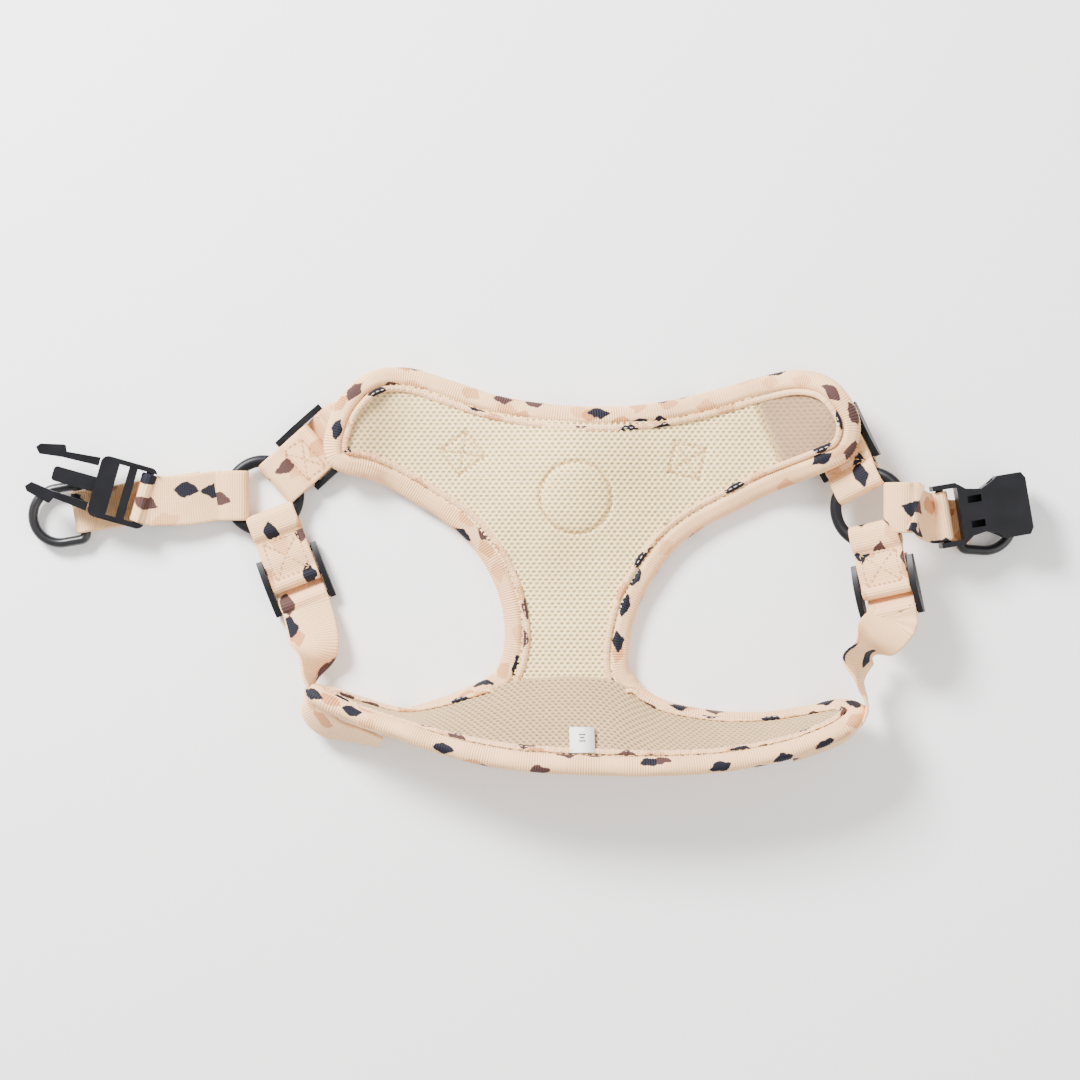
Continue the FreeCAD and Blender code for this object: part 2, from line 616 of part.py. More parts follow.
def flank_nodes(side, flank, angles, girth_reach, neck_beyond, girth_beyond):
    """All the pieces of one flank that lie in its O-ring's plane."""
    neck_angle, girth_angle, back_angle = angles
    neck, girth = flank.multiply(turned(neck_angle)), flank.multiply(turned(girth_angle))
    back = flank.multiply(turned(back_angle))
    loop_reach = back_hinge_reach - tab_thickness / 2.0 - fold_bead - joint_gap
    return {
        side + "_o_ring": placed(o_ring(), flank),
        side + "_neck_tab": placed(slider_tab(neck_slider_reach), neck),
        side + "_girth_tab": placed(slider_tab(girth_reach), girth),
        side + "_ring_loop": placed(ring_loop_end(loop_reach), back),
        side + "_neck_slider": placed(tri_glide(neck_slider_reach), neck),
        side + "_girth_slider": placed(tri_glide(girth_reach), girth),
        side + "_neck_strap": long_strap(flank, neck_angle, neck_slider_reach, neck_beyond),
        side + "_girth_strap": long_strap(flank, girth_angle, girth_reach, girth_beyond),
    }


nodes = {
    "outer_shell": vest_layer(-vest_thickness / 2.0, shell_thickness),
    "foam_core": vest_layer(-vest_thickness / 2.0 + shell_thickness, foam_thickness),
    "mesh_lining": vest_layer(vest_thickness / 2.0 - lining_thickness, lining_thickness),
    "edge_binding": edge_binding(),
    "size_label": size_label(),
    "chest_strip": chest_strip(),
    "chest_patch": chest_patch(),
    "chest_ring_keeper": chest_keeper(),
    "chest_d_ring": placed(d_ring(chest_ring_width, chest_ring_depth, chest_ring_rod), chest_ring_place),
    "left_back_strap": back_strap(left_hinge, male_place),
    "right_back_strap": back_strap(right_hinge, female_place),
    "left_leash_tab": leash_tab(left_leash_stations, left_leash_place),
    "right_leash_tab": leash_tab(right_leash_stations, right_leash_place),
    "left_leash_ring": placed(d_ring(leash_ring_width, leash_ring_depth, leash_ring_rod),
                              left_leash_place),
    "right_leash_ring": placed(d_ring(leash_ring_width, leash_ring_depth, leash_ring_rod),
                               right_leash_place),
    "male_buckle_base": placed(male_base(), male_place),
    "upper_prong": placed(prong(-1.0), male_place),
    "lower_prong": placed(prong(1.0), male_place),
    "female_buckle": placed(female_body(), female_place),
}
nodes.update(flank_nodes("left", left_flank, left_angles, left_girth_slider_reach,
                         left_neck_stations, left_girth_stations))
nodes.update(flank_nodes("right", right_flank, right_angles, right_girth_slider_reach,
                         right_neck_stations, right_girth_stations))

# ---- origin at the middle of the base, then one STEP file per piece -----------------------
whole = Part.makeCompound(list(nodes.values())).optimalBoundingBox(False, False)
origin = Vec((whole.XMin + whole.XMax) / 2.0, (whole.YMin + whole.YMax) / 2.0, whole.ZMin)
to_row = FreeCAD.Placement(origin * -1.0, FreeCAD.Rotation())
os.makedirs("parts", exist_ok=True)
for name, shape in nodes.items():
    nodes[name] = placed(shape, to_row)
    nodes[name].exportStep("parts/" + name + ".step")
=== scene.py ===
import json
import math
import bpy
import numpy as np
from bpy.props import FloatProperty, FloatVectorProperty, PointerProperty
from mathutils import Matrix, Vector, noise


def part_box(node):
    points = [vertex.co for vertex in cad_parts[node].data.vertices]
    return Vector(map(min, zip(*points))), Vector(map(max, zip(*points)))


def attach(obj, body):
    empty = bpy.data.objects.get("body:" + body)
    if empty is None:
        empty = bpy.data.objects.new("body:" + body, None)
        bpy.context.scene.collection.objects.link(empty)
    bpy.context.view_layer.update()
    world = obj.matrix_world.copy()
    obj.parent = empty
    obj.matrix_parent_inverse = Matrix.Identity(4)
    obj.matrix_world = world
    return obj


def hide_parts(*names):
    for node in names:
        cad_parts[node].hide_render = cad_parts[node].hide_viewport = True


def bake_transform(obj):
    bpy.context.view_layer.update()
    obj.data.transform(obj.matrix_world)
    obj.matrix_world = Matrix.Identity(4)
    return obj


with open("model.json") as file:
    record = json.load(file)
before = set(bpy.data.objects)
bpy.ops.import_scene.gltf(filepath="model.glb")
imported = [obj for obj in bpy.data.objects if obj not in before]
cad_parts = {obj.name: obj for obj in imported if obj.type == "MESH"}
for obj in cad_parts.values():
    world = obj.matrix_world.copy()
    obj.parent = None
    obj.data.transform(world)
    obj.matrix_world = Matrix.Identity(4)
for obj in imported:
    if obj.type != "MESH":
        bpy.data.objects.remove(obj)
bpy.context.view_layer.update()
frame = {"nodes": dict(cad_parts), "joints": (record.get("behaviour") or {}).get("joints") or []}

bl_info = {
    "name": "No-pull dog harness",
    "version": (1, 0, 0),
    "blender": (4, 5, 0),
    "location": "3D View > Sidebar > Harness",
    "description": "Builds the cloth, webbing, stitching and finishes of a no-pull dog harness",
    "category": "Object",
}

MM = 0.001
UP = np.array((0.0, 0.0, 1.0))
GROUPS = {}
MATERIALS = {}
JOINTS = {joint["name"]: joint for joint in frame["joints"]}
WEB_WIDTH = 20.0 * MM
WEB_THICK = 1.4 * MM
WEB_PLAY = 0.25 * MM
RING_RADIUS = 14.0 * MM
RING_ROD_WIDE = 4.7 * MM
RING_ROD_HIGH = 3.6 * MM
BINDING_RADIUS = 4.0 * MM
TAPE_RIB = 1.05                   # millimetres from one rib of the edge tape to the next
VEST_HALF = 2.7 * MM
TAB_BOX_WIDTH = 14.5 * MM
CHEST_WEB_WIDTH = 12.5 * MM
CHEST_WEB_THICK = 1.2 * MM
LEASH_WEB_WIDTH = 17.0 * MM
RIGHT_BUCKLE_YAW = math.radians(9.5)
CAMERA_HEIGHT = 1.0
CAMERA_LENS = 82.5
CAMERA_AIM = (4.9, 12.0, 0.0)     # pattern millimetres
PATTERN_RING = (-106.2, 29.8)     # where the vest's pattern puts the left O-ring, millimetres

# The vest's pattern in millimetres: binding line of the yoke, then belly band stations.
NECK_EDGE = [(-76.8, 46.0), (-76.8, 53.2), (-73.2, 63.6), (-66.8, 72.0), (-60.0, 76.2), (-52.0, 77.2),
             (-44.0, 76.0), (-32.0, 72.0), (-8.4, 64.8), (19.2, 61.2), (46.4, 62.0), (72.8, 67.2),
             (95.2, 73.6), (108.4, 75.4), (118.8, 72.0), (126.0, 63.0), (127.6, 54.8), (124.4, 47.2)]
RIGHT_ARMHOLE = [(116.0, 42.8), (96.0, 34.8), (82.8, 28.0), (68.8, 20.8), (57.0, 12.0), (47.0, -1.0),
                 (39.6, -16.0), (36.2, -33.0), (38.5, -44.0)]
LEFT_ARMHOLE = [(-9.2, -43.2), (-5.0, -28.0), (-7.4, -10.0), (-15.2, 6.8), (-26.0, 19.2), (-42.4, 30.0),
                (-55.0, 37.4), (-64.0, 41.0), (-72.0, 42.6)]
BAND = [((-78.0, -50.0, 13.5), (-79.0, -51.5, 27.5)), ((-66.0, -54.5, 8.0), (-66.0, -57.5, 29.0)),
        ((-50.0, -58.6, 6.0), (-52.0, -62.0, 31.0)), ((-36.0, -55.4, 5.2), (-37.0, -67.0, 33.0)),
        ((-20.0, -49.4, 4.4), (-21.0, -71.2, 35.0)), ((0.0, -44.0, 4.0), (0.0, -74.4, 36.0)),
        ((32.0, -44.0, 4.0), (33.0, -76.0, 36.0)), ((52.0, -55.0, 4.4), (54.0, -76.2, 35.5)),
        ((74.0, -60.0, 5.0), (76.0, -75.0, 34.0)), ((95.0, -60.4, 6.0), (97.0, -71.5, 33.0)),
        ((112.0, -57.8, 8.5), (112.0, -67.0, 31.5)), ((124.0, -55.0, 13.0), (124.5, -61.5, 28.5))]
LEFT_BAND_TIP = (-84.0, -48.6, 20.5)
RIGHT_BAND_TIP = (130.0, -56.5, 21.0)
PATCH_CENTRE = (19.2, 29.0)
CIRCLE_RADIUS = 14.3
BOX_STITCHES = [((-26.0, 46.8), 36.0), ((64.0, 43.8), -13.0)]
BOX_HALF = 6.2
# Share of the tip colour on the belly band's lining: painted shade, as the band tilts away from the light.
BAND_PAINTED_SHADE = 0.7
ARM_SEAMS = [((-46.8, 67.0), (-58.5, 41.0)), ((89.0, 73.0), (101.5, 41.0))]


def pivot(joint_name):
    """A joint's place and axis in the row frame."""
    joint = JOINTS[joint_name]
    return np.array(joint["pos_m"], float), np.array(joint["axis"], float)


def box_centre(node_name):
    """Middle of a node's box."""
    low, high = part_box(node_name)
    return (Vector(low) + Vector(high)) * 0.5


RING_CENTRE = box_centre("left_o_ring")
SHIFT = np.array([RING_CENTRE.x / MM - PATTERN_RING[0], RING_CENTRE.y / MM - PATTERN_RING[1],
                  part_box("edge_binding")[0][2] / MM])


def placed(points):
    """Pattern millimetres to row metres."""
    return (np.asarray(points, float) + SHIFT) * MM


# ---- curves and surfaces of the vest -------------------------------------------------------
def smooth(points, steps, closed=False):
    """Catmull-Rom curve through points, as an array."""
    pts = np.asarray(points, float)
    count = len(pts)
    spans = count if closed else count - 1
    out = []
    for index in range(spans):
        if closed:
            p0, p1, p2, p3 = (pts[(index + k) % count] for k in (-1, 0, 1, 2))
        else:
            p0, p1, p2, p3 = (pts[min(max(index + k, 0), count - 1)] for k in (-1, 0, 1, 2))
        for step in range(steps):
            t = step / steps
            out.append(0.5 * (2 * p1 + (p2 - p0) * t + (2 * p0 - 5 * p1 + 4 * p2 - p3) * t * t
                              + (3 * p1 - p0 - 3 * p2 + p3) * t ** 3))
    if not closed:
        out.append(pts[-1])
    return np.array(out)


def resampled(run, spacing, closed=False):
    """The same run at an even spacing, measured on its first three columns only."""
    pts = np.asarray(run, float)
    if closed:
        pts = np.vstack([pts, pts[:1]])
    gaps = np.linalg.norm(np.diff(pts[:, :3], axis=0), axis=1)
    along = np.concatenate([[0.0], np.cumsum(gaps)])
    count = max(int(round(along[-1] / spacing)), 3)
    places = np.linspace(0.0, along[-1], count + 1)
    if closed:
        places = places[:-1]
    return np.column_stack([np.interp(places, along, pts[:, axis]) for axis in range(pts.shape[1])])


def headings(points, closed=False):
    """Unit tangents of a run."""
    ahead = np.gradient(points, axis=0)
    if closed:
        ahead = np.roll(points, -1, axis=0) - np.roll(points, 1, axis=0)
    return ahead / np.linalg.norm(ahead, axis=1)[:, None]


def vest_height(x, y):
    """Middle of the yoke's thickness, in pattern millimetres."""
    dome = 7.4 * np.exp(-((x - 19.0) ** 2 + (y - 48.0) ** 2) / (2.0 * 21.0 ** 2))
    left = 8.4 / (1.0 + np.exp((x + 62.0) / 4.5))
    right = 16.2 / (1.0 + np.exp((108.0 - x) / 6.0))
    return 4.0 + dome + left + right


def on_yoke(points):
    """Pattern points lifted onto the yoke's middle."""
    return [(x, y, float(vest_height(x, y))) for x, y in points]


def binding_line():
    """Closed middle line of the edge binding, in pattern millimetres."""
    left = [pair[0] for pair in BAND[:5]]
    right = [pair[0] for pair in BAND[7:]]
    belly = [pair[1] for pair in BAND]
    loop = (on_yoke(NECK_EDGE) + on_yoke(RIGHT_ARMHOLE) + right + [RIGHT_BAND_TIP] + belly[::-1]
            + [LEFT_BAND_TIP] + left + on_yoke(LEFT_ARMHOLE))
    return smooth(loop, 10, closed=True)


def inside(x, y, outline):
    """Which points lie inside a closed outline."""
    hit = np.zeros(x.shape, bool)
    px, py = outline[:, 0], outline[:, 1]
    for a in range(len(px)):
        b = a - 1
        cross = (py[a] > y) != (py[b] > y)
        gap = py[b] - py[a]
        if abs(gap) > 1e-12:
            hit ^= cross & (x < (px[b] - px[a]) * (y - py[a]) / gap + px[a])
    return hit


def wrinkle(spot, size, depth):
    """Smooth noise whose waves are about the given size."""
    return depth * noise.noise(Vector(spot) / size)


def cell_relief(u, v):
    """Air-mesh cells: rows of short slanted pits, each row shifted by half a cell."""
    row = np.floor(v / 1.6)
    down = (v / 1.6) % 1.0 - 0.5
    across = (u / 2.5 + 0.5 * (row % 2) + 0.16 * down) % 1.0 - 0.5
    pit = np.exp(-((across / 0.3) ** 4 + (down / 0.34) ** 4))
    return 0.18 - 0.78 * pit


def past_seam(x, y):
    """0 on the chest, rising to 1 on the two shoulder tips, where the lining is a finer, pinker knit. The
    rise also paints shade where the tips curl up away from the light, most on the right tip.
    """
    tone = np.zeros(np.shape(x))
    for ((x0, y0), (x1, y1)), side, soft, full in zip(ARM_SEAMS, (1.0, -1.0), (4.5, 0.9), (0.35, 0.9)):
        away = ((x - x0) * (y1 - y0) - (y - y0) * (x1 - x0)) / math.hypot(x1 - x0, y1 - y0)
        tone += full / (1.0 + np.exp(np.clip(-side * away / soft, -40.0, 40.0)))
    return tone


def kept_grid(keep):
    """Faces of a grid whose four corners are all kept, and the corners that those faces use."""
    rows, columns = keep.shape
    whole = keep[:-1, :-1] & keep[1:, :-1] & keep[:-1, 1:] & keep[1:, 1:]
    used = np.zeros(keep.shape, bool)
    for dr, dc in ((0, 0), (1, 0), (0, 1), (1, 1)):
        used[dr:rows - 1 + dr, dc:columns - 1 + dc] |= whole
    return whole, used


def fill_uvs(mesh, uvs):
    """A UV layer from one pair per vertex."""
    layer = mesh.uv_layers.new(name="UVMap")
    corner = np.empty(len(mesh.loops), int)
    mesh.loops.foreach_get("vertex_index", corner)
    layer.data.foreach_set("uv", uvs[corner].astype(np.float32).ravel())


def vertex_spots(mesh):
    """Vertex positions as rows."""
    spots = np.empty(len(mesh.vertices) * 3)
    mesh.vertices.foreach_get("co", spots)
    return spots.reshape(-1, 3)


def grid_mesh(name, points, keep, uvs, **layers):
    """Mesh from rows x columns of metres, with a value per point for each layer of the shading."""
    whole, used = kept_grid(keep)
    index = -np.ones(keep.shape, int)
    index[used] = np.arange(used.sum())
    r, c = np.nonzero(whole)
    faces = np.column_stack([index[r, c], index[r, c + 1], index[r + 1, c + 1], index[r + 1, c]])
    mesh = bpy.data.meshes.new(name)
    mesh.from_pydata(points[used].tolist(), [], faces.tolist())
    fill_uvs(mesh, uvs[used])
    for label, values in layers.items():
        attribute = mesh.attributes.new(label, "FLOAT", "POINT")
        attribute.data.foreach_set("value", values[used].astype(np.float32))
    mesh.shade_smooth()
    return mesh


def add_piece(name, mesh, finish_name, body="vest"):
    """An object from a mesh, or from swept parts, with its finish and body."""
    if isinstance(mesh, list):
        mesh = mesh_of(name, mesh)
    piece = bpy.data.objects.new(name, mesh)
    bpy.context.scene.collection.objects.link(piece)
    mesh.materials.append(MATERIALS[finish_name])
    if body:
        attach(piece, body)
    return piece


# ---- ribbons, tapes and threads ------------------------------------------------------------
def frames_along(points, sides, closed=False):
    """Unit sides and normals of a run, square to its tangents."""
    ahead = headings(points, closed)
    sides = sides - (sides * ahead).sum(axis=1)[:, None] * ahead
    sides /= np.linalg.norm(sides, axis=1)[:, None]
    return sides, np.cross(ahead, sides)


def webbing_section(width, thick):
    """Half-round selvedges and lengthwise ribs across a strap's faces."""
    half, lift = width / 2.0, thick / 2.0
    ribs = 26
    edge = half - lift * 0.8
    top = []
    for step in range(ribs + 1):
        across = -edge + 2.0 * edge * step / ribs
        top.append((across, lift * (1.0 if step % 2 else 0.9)))
    section = top + [(half - lift * 0.2, lift * 0.6), (half, 0.0), (half - lift * 0.2, -lift * 0.6)]
    section += [(across, -level) for across, level in reversed(top)]
    return section + [(-half + lift * 0.2, -lift * 0.6), (-half, 0.0), (-half + lift * 0.2, lift * 0.6)]


def sweep(points, sides, section, closed=False, bump=None):
    """Vertices, faces and UVs (metres along and round) of a section swept along a run."""
    across, up = frames_along(points, sides, closed)
    shape = np.asarray(section)
    shape = np.vstack([shape, shape[:1]])
    if bump is None:
        bump = np.ones(len(points))
    if closed:
        points, across, up = (np.vstack([rows, rows[:1]]) for rows in (points, across, up))
        bump = np.append(bump, bump[0])
    count, ring = len(points), len(shape)
    scaled = shape[None, :, :] * bump[:, None, None]
    verts = (points[:, None, :] + across[:, None, :] * scaled[:, :, :1] + up[:, None, :] * scaled[:, :, 1:])
    i, k = (axis.ravel() for axis in np.meshgrid(np.arange(count - 1), np.arange(ring - 1), indexing="ij"))
    corner = i * ring + k
    faces = np.column_stack([corner, corner + 1, corner + ring + 1, corner + ring]).tolist()
    along = np.concatenate([[0.0], np.cumsum(np.linalg.norm(np.diff(points, axis=0), axis=1))])
    about = np.concatenate([[0.0], np.cumsum(np.linalg.norm(np.diff(shape, axis=0), axis=1))])
    uvs = np.stack([np.repeat(along[:, None], ring, 1), np.repeat(about[None, :], count, 0)], -1)
    if not closed:
        faces.append(tuple(range(ring - 2, -1, -1)))
        faces.append(tuple((count - 1) * ring + k for k in range(ring - 1)))
    return verts.reshape(-1, 3), faces, uvs.reshape(-1, 2)


def mesh_of(name, parts):
    """One mesh from several (vertices, faces, UVs) parts."""
    verts, faces, uvs = [], [], []
    base = 0
    for part_verts, part_faces, part_uvs in parts:
        verts.append(np.asarray(part_verts))
        faces += [tuple(base + index for index in face) for face in part_faces]
        uvs.append(np.asarray(part_uvs))
        base += len(part_verts)
    mesh = bpy.data.meshes.new(name)
    mesh.from_pydata(np.vstack(verts).tolist(), [], faces)
    own_cut = np.array([sum(map(ord, name)) * 0.0137 % 1.0, 0.0])
    fill_uvs(mesh, np.vstack(uvs) + own_cut)
    mesh.shade_smooth()
    return mesh


def strap(points, sides, width=WEB_WIDTH, thick=WEB_THICK, spacing=0.8 * MM, closed=False):
    """A webbing run through stations, in metres."""
    run = resampled(smooth(np.hstack([points, sides]), 8, closed), spacing, closed)
    return sweep(run[:, :3], run[:, 3:], webbing_section(width, thick), closed)


def stitch(centre, along, up, length, thick):
    """One thread stitch: a small arched capsule lying on cloth."""
    side = np.cross(up, along)
    verts, faces = [], []
    rings, around = 5, 6
    for i in range(rings):
        t = i / (rings - 1) * 2.0 - 1.0
        fat = thick * (1.0 - 0.75 * t ** 4) * 0.5
        spot = centre + along * (t * length * 0.5) + up * (thick * 0.35 * (1.0 - t * t) - thick * 0.1)
        for k in range(around):
            angle = 2.0 * math.pi * k / around
            verts.append(spot + (side * math.cos(angle) + up * math.sin(angle)) * fat)
    for i in range(rings - 1):
        for k in range(around):
            m = (k + 1) % around
            faces.append((i * around + k, i * around + m, (i + 1) * around + m, (i + 1) * around + k))
    faces.append(tuple(range(around - 1, -1, -1)))
    faces.append(tuple((rings - 1) * around + k for k in range(around)))
    return verts, faces, [(0.0, 0.0)] * len(verts)


def stitch_row(points, ups, pitch=2.4 * MM, fill=0.72, thick=0.42 * MM, closed=False):
    """Stitches along a run whose rows are points and outward normals."""
    run = resampled(np.hstack([points, ups]), pitch, closed)
    parts = []
    count = len(run)
    for index in range(count if closed else count - 1):
        here, there = run[index], run[(index + 1) % count]
        step = there[:3] - here[:3]
        length = np.linalg.norm(step)
        if length < 1e-6:
            continue
        up = here[3:] + there[3:]
        along = step / length
        up = up - along * (up * along).sum()
        up = up / np.linalg.norm(up)
        parts.append(stitch((here[:3] + there[:3]) * 0.5, along, up, length * fill, thick))
    return parts


def box_lines(centre, along, across):
    """Sides and diagonals of a box-X stitching, from its middle and its two half sides."""
    corners = [centre + along * a + across * b for a, b in ((-1, -1), (1, -1), (1, 1), (-1, 1))]
    pairs = ((0, 1), (1, 2), (2, 3), (3, 0), (0, 2), (1, 3))
    return [np.array([corners[first], corners[second]]) for first, second in pairs]


def box_stitch(centre, along, across, up):
    """Thread of a box-X stitching."""
    parts = []
    for points in box_lines(centre, along, across):
        parts += stitch_row(points, np.array([up, up]), pitch=2.1 * MM)
    return parts


# ---- shader node groups --------------------------------------------------------------------
def new_group(name, inputs, outputs):
    """An empty shader group with its sockets, and its input and output nodes."""
    group = bpy.data.node_groups.new(name, "ShaderNodeTree")
    for label, kind, default in inputs:
        socket = group.interface.new_socket(name=label, in_out="INPUT", socket_type=kind)
        socket.default_value = default
    for label, kind in outputs:
        group.interface.new_socket(name=label, in_out="OUTPUT", socket_type=kind)
    start = group.nodes.new("NodeGroupInput")
    end = group.nodes.new("NodeGroupOutput")
    return group, start, end


def node(tree, kind, links=(), **values):
    """A node with its properties set and its inputs linked or filled."""
    made = tree.nodes.new(kind)
    for key, value in values.items():
        setattr(made, key, value)
    for key, source in dict(links).items():
        if isinstance(source, bpy.types.NodeSocket):
            tree.links.new(source, made.inputs[key])
        else:
            made.inputs[key].default_value = source
    return made


def maths(tree, operation, first, second=0.5, third=0.0):
    """Result of a maths node."""
    return node(tree, "ShaderNodeMath", {0: first, 1: second, 2: third}, operation=operation).outputs[0]


def mixed(tree, factor, first, second, blend="MIX"):
    """Result of a colour mix."""
    made = node(tree, "ShaderNodeMix", {0: factor, 6: first, 7: second}, data_type="RGBA", blend_type=blend)
    return made.outputs[2]


def chips(group, vector, scale, turn, slim, reach, seed):
    """Mask and random colour of one layer of lozenge-shaped chips."""
    place = node(group, "ShaderNodeMapping", {"Vector": vector, "Location": (seed, seed * 0.7, 0.0),
                                              "Rotation": (0.0, 0.0, turn), "Scale": (1.0, slim, 1.0)})
    cells = node(group, "ShaderNodeTexVoronoi", {"Vector": place.outputs[0], "Scale": scale,
                                                 "Randomness": 0.8, "Exponent": 1.25},
                 feature="F1", distance="MINKOWSKI", voronoi_dimensions="2D")
    mask = node(group, "ShaderNodeMapRange", {0: cells.outputs["Distance"], 1: reach, 2: reach - 0.04})
    dice = node(group, "ShaderNodeSeparateColor", {0: cells.outputs["Color"]})
    return mask.outputs[0], dice.outputs


def chip_print_group():
    """Printed chips: small dark lozenges and softer rust ones, scattered on the ground colour."""
    group, start, end = new_group(
        "chip_print",
        [("Vector", "NodeSocketVector", (0, 0, 0)), ("Scale", "NodeSocketFloat", 60.0),
         ("Ground", "NodeSocketColor", (0.8, 0.62, 0.5, 1)), ("Density", "NodeSocketFloat", 0.5)],
        [("Color", "NodeSocketColor"), ("Mask", "NodeSocketFloat")])
    warp = node(group, "ShaderNodeTexNoise", {"Vector": start.outputs["Vector"], "Scale": 220.0})
    shift = node(group, "ShaderNodeVectorMath", {0: warp.outputs["Color"], 1: (0.0032, 0.0032, 0.0)},
                 operation="MULTIPLY")
    vector = node(group, "ShaderNodeVectorMath", {0: start.outputs["Vector"], 1: shift.outputs[0]},
                  operation="ADD").outputs[0]
    scale, density = start.outputs["Scale"], start.outputs["Density"]
    rust, rust_dice = chips(group, vector, scale, -0.3, 1.5, 0.36, 3.1)
    rust = maths(group, "MULTIPLY", rust, maths(group, "LESS_THAN", rust_dice[1], density))
    tint = node(group, "ShaderNodeValToRGB", {0: rust_dice[0]})
    tint.color_ramp.elements[0].color = (0.5, 0.17, 0.05, 1)
    tint.color_ramp.elements[1].color = (0.84, 0.42, 0.2, 1)
    ground = mixed(group, maths(group, "MULTIPLY", rust, 0.8), start.outputs["Ground"], tint.outputs[0])
    dark, dark_dice = chips(group, vector, scale, 0.25, 1.7, 0.36, 0.0)
    dark = maths(group, "MULTIPLY", dark, maths(group, "LESS_THAN", dark_dice[1], density))
    ink = node(group, "ShaderNodeValToRGB", {0: dark_dice[0]})
    ink.color_ramp.interpolation = "CONSTANT"
    ink.color_ramp.elements[0].color = (0.008, 0.008, 0.016, 1)
    ink.color_ramp.elements[1].position = 0.55
    ink.color_ramp.elements[1].color = (0.075, 0.034, 0.03, 1)
    group.links.new(mixed(group, dark, ground, ink.outputs[0]), end.inputs["Color"])
    group.links.new(maths(group, "MAXIMUM", dark, rust), end.inputs["Mask"])
    return group


def rib_group():
    """Ribbed weave: fine ribs across one UV axis crossed by picks on the other."""
    group, start, end = new_group(
        "rib_weave",
        [("Ribs per metre", "NodeSocketFloat", 1300.0), ("Picks per metre", "NodeSocketFloat", 2600.0)],
        [("Height", "NodeSocketFloat"), ("Shade", "NodeSocketFloat")])
    place = node(group, "ShaderNodeUVMap", uv_map="UVMap")
    split = node(group, "ShaderNodeSeparateXYZ", {0: place.outputs[0]})
    turn = 2.0 * math.pi
    ribs = maths(group, "MULTIPLY", maths(group, "MULTIPLY", split.outputs[0],
                                          start.outputs["Ribs per metre"]), turn)
    picks = maths(group, "MULTIPLY", maths(group, "MULTIPLY", split.outputs[1],
                                           start.outputs["Picks per metre"]), turn)
    wave = maths(group, "MULTIPLY_ADD", maths(group, "SINE", ribs), 0.5, 0.5)
    cross = maths(group, "MULTIPLY_ADD", maths(group, "SINE", picks), 0.5, 0.5)
    height = maths(group, "MULTIPLY_ADD", cross, 0.35, maths(group, "MULTIPLY", wave, 0.65))
    group.links.new(height, end.inputs["Height"])
    # Shade darkens the colour in the grooves and lightens it on the crests: painted shade and painted
    # highlight.
    group.links.new(maths(group, "MULTIPLY_ADD", height, 0.34, 0.76), end.inputs["Shade"])
    return group


def mottling_group():
    """Slow colour change, as handled fabric and moulded plastic have."""
    group, start, end = new_group(
        "mottling",
        [("Color", "NodeSocketColor", (0.8, 0.8, 0.8, 1)), ("Dark", "NodeSocketFloat", 0.85),
         ("Scale", "NodeSocketFloat", 60.0)],
        [("Color", "NodeSocketColor"), ("Value", "NodeSocketFloat")])
    place = node(group, "ShaderNodeTexCoord")
    cloud = node(group, "ShaderNodeTexNoise", {"Vector": place.outputs["Object"],
                                               "Scale": start.outputs["Scale"], "Detail": 5.0})
    spread = node(group, "ShaderNodeMapRange", {0: cloud.outputs[0], 1: 0.3, 2: 0.7,
                                                3: start.outputs["Dark"], 4: 1.06})
    tint = mixed(group, 1.0, start.outputs["Color"], spread.outputs[0], "MULTIPLY")
    group.links.new(tint, end.inputs["Color"])
    group.links.new(cloud.outputs[0], end.inputs["Value"])
    return group


def group_node(tree, name, **inputs):
    """One of the shared groups, with its inputs linked or filled."""
    made = tree.nodes.new("ShaderNodeGroup")
    made.node_tree = GROUPS[name]
    for key, value in inputs.items():
        label = key.replace("_", " ")
        if isinstance(value, bpy.types.NodeSocket):
            tree.links.new(value, made.inputs[label])
        else:
            made.inputs[label].default_value = value
    return made


def material(name, **settings):
    """A material, its tree and its Principled shader, with the shader's inputs set by name."""
    made = bpy.data.materials.new(name)
    made.use_nodes = True
    shader = made.node_tree.nodes["Principled BSDF"]
    for key, value in settings.items():
        shader.inputs[key.replace("_", " ")].default_value = value
    return made, made.node_tree, shader


def finish(tree, shader, colour, rough, height, strength, distance):
    """Links colour, roughness and bump to the shader."""
    bump = node(tree, "ShaderNodeBump", {"Height": height, "Strength": strength, "Distance": distance})
    tree.links.new(colour, shader.inputs["Base Color"])
    tree.links.new(rough, shader.inputs["Roughness"])
    tree.links.new(bump.outputs[0], shader.inputs["Normal"])


def printed_cloth(name, ground, ribs, picks, chip_scale, density, bump):
    """Ribbed cloth with the chip print over it."""
    made, tree, shader = material(name, Specular_IOR_Level=0.2, Sheen_Weight=0.06, Sheen_Roughness=0.4)
    place = node(tree, "ShaderNodeUVMap", uv_map="UVMap")
    printed = group_node(tree, "chip_print", Vector=place.outputs[0], Scale=chip_scale,
                         Ground=(*ground, 1), Density=density)
    mottled = group_node(tree, "mottling", Color=printed.outputs[0], Dark=0.9, Scale=45.0)
    weave = group_node(tree, "rib_weave", Ribs_per_metre=ribs, Picks_per_metre=picks)
    colour = mixed(tree, 1.0, mottled.outputs[0], weave.outputs["Shade"], "MULTIPLY")
    rough = maths(tree, "MULTIPLY_ADD", mottled.outputs["Value"], 0.2, 0.55)
    finish(tree, shader, colour, rough, weave.outputs["Height"], bump, 0.0004)
    return made


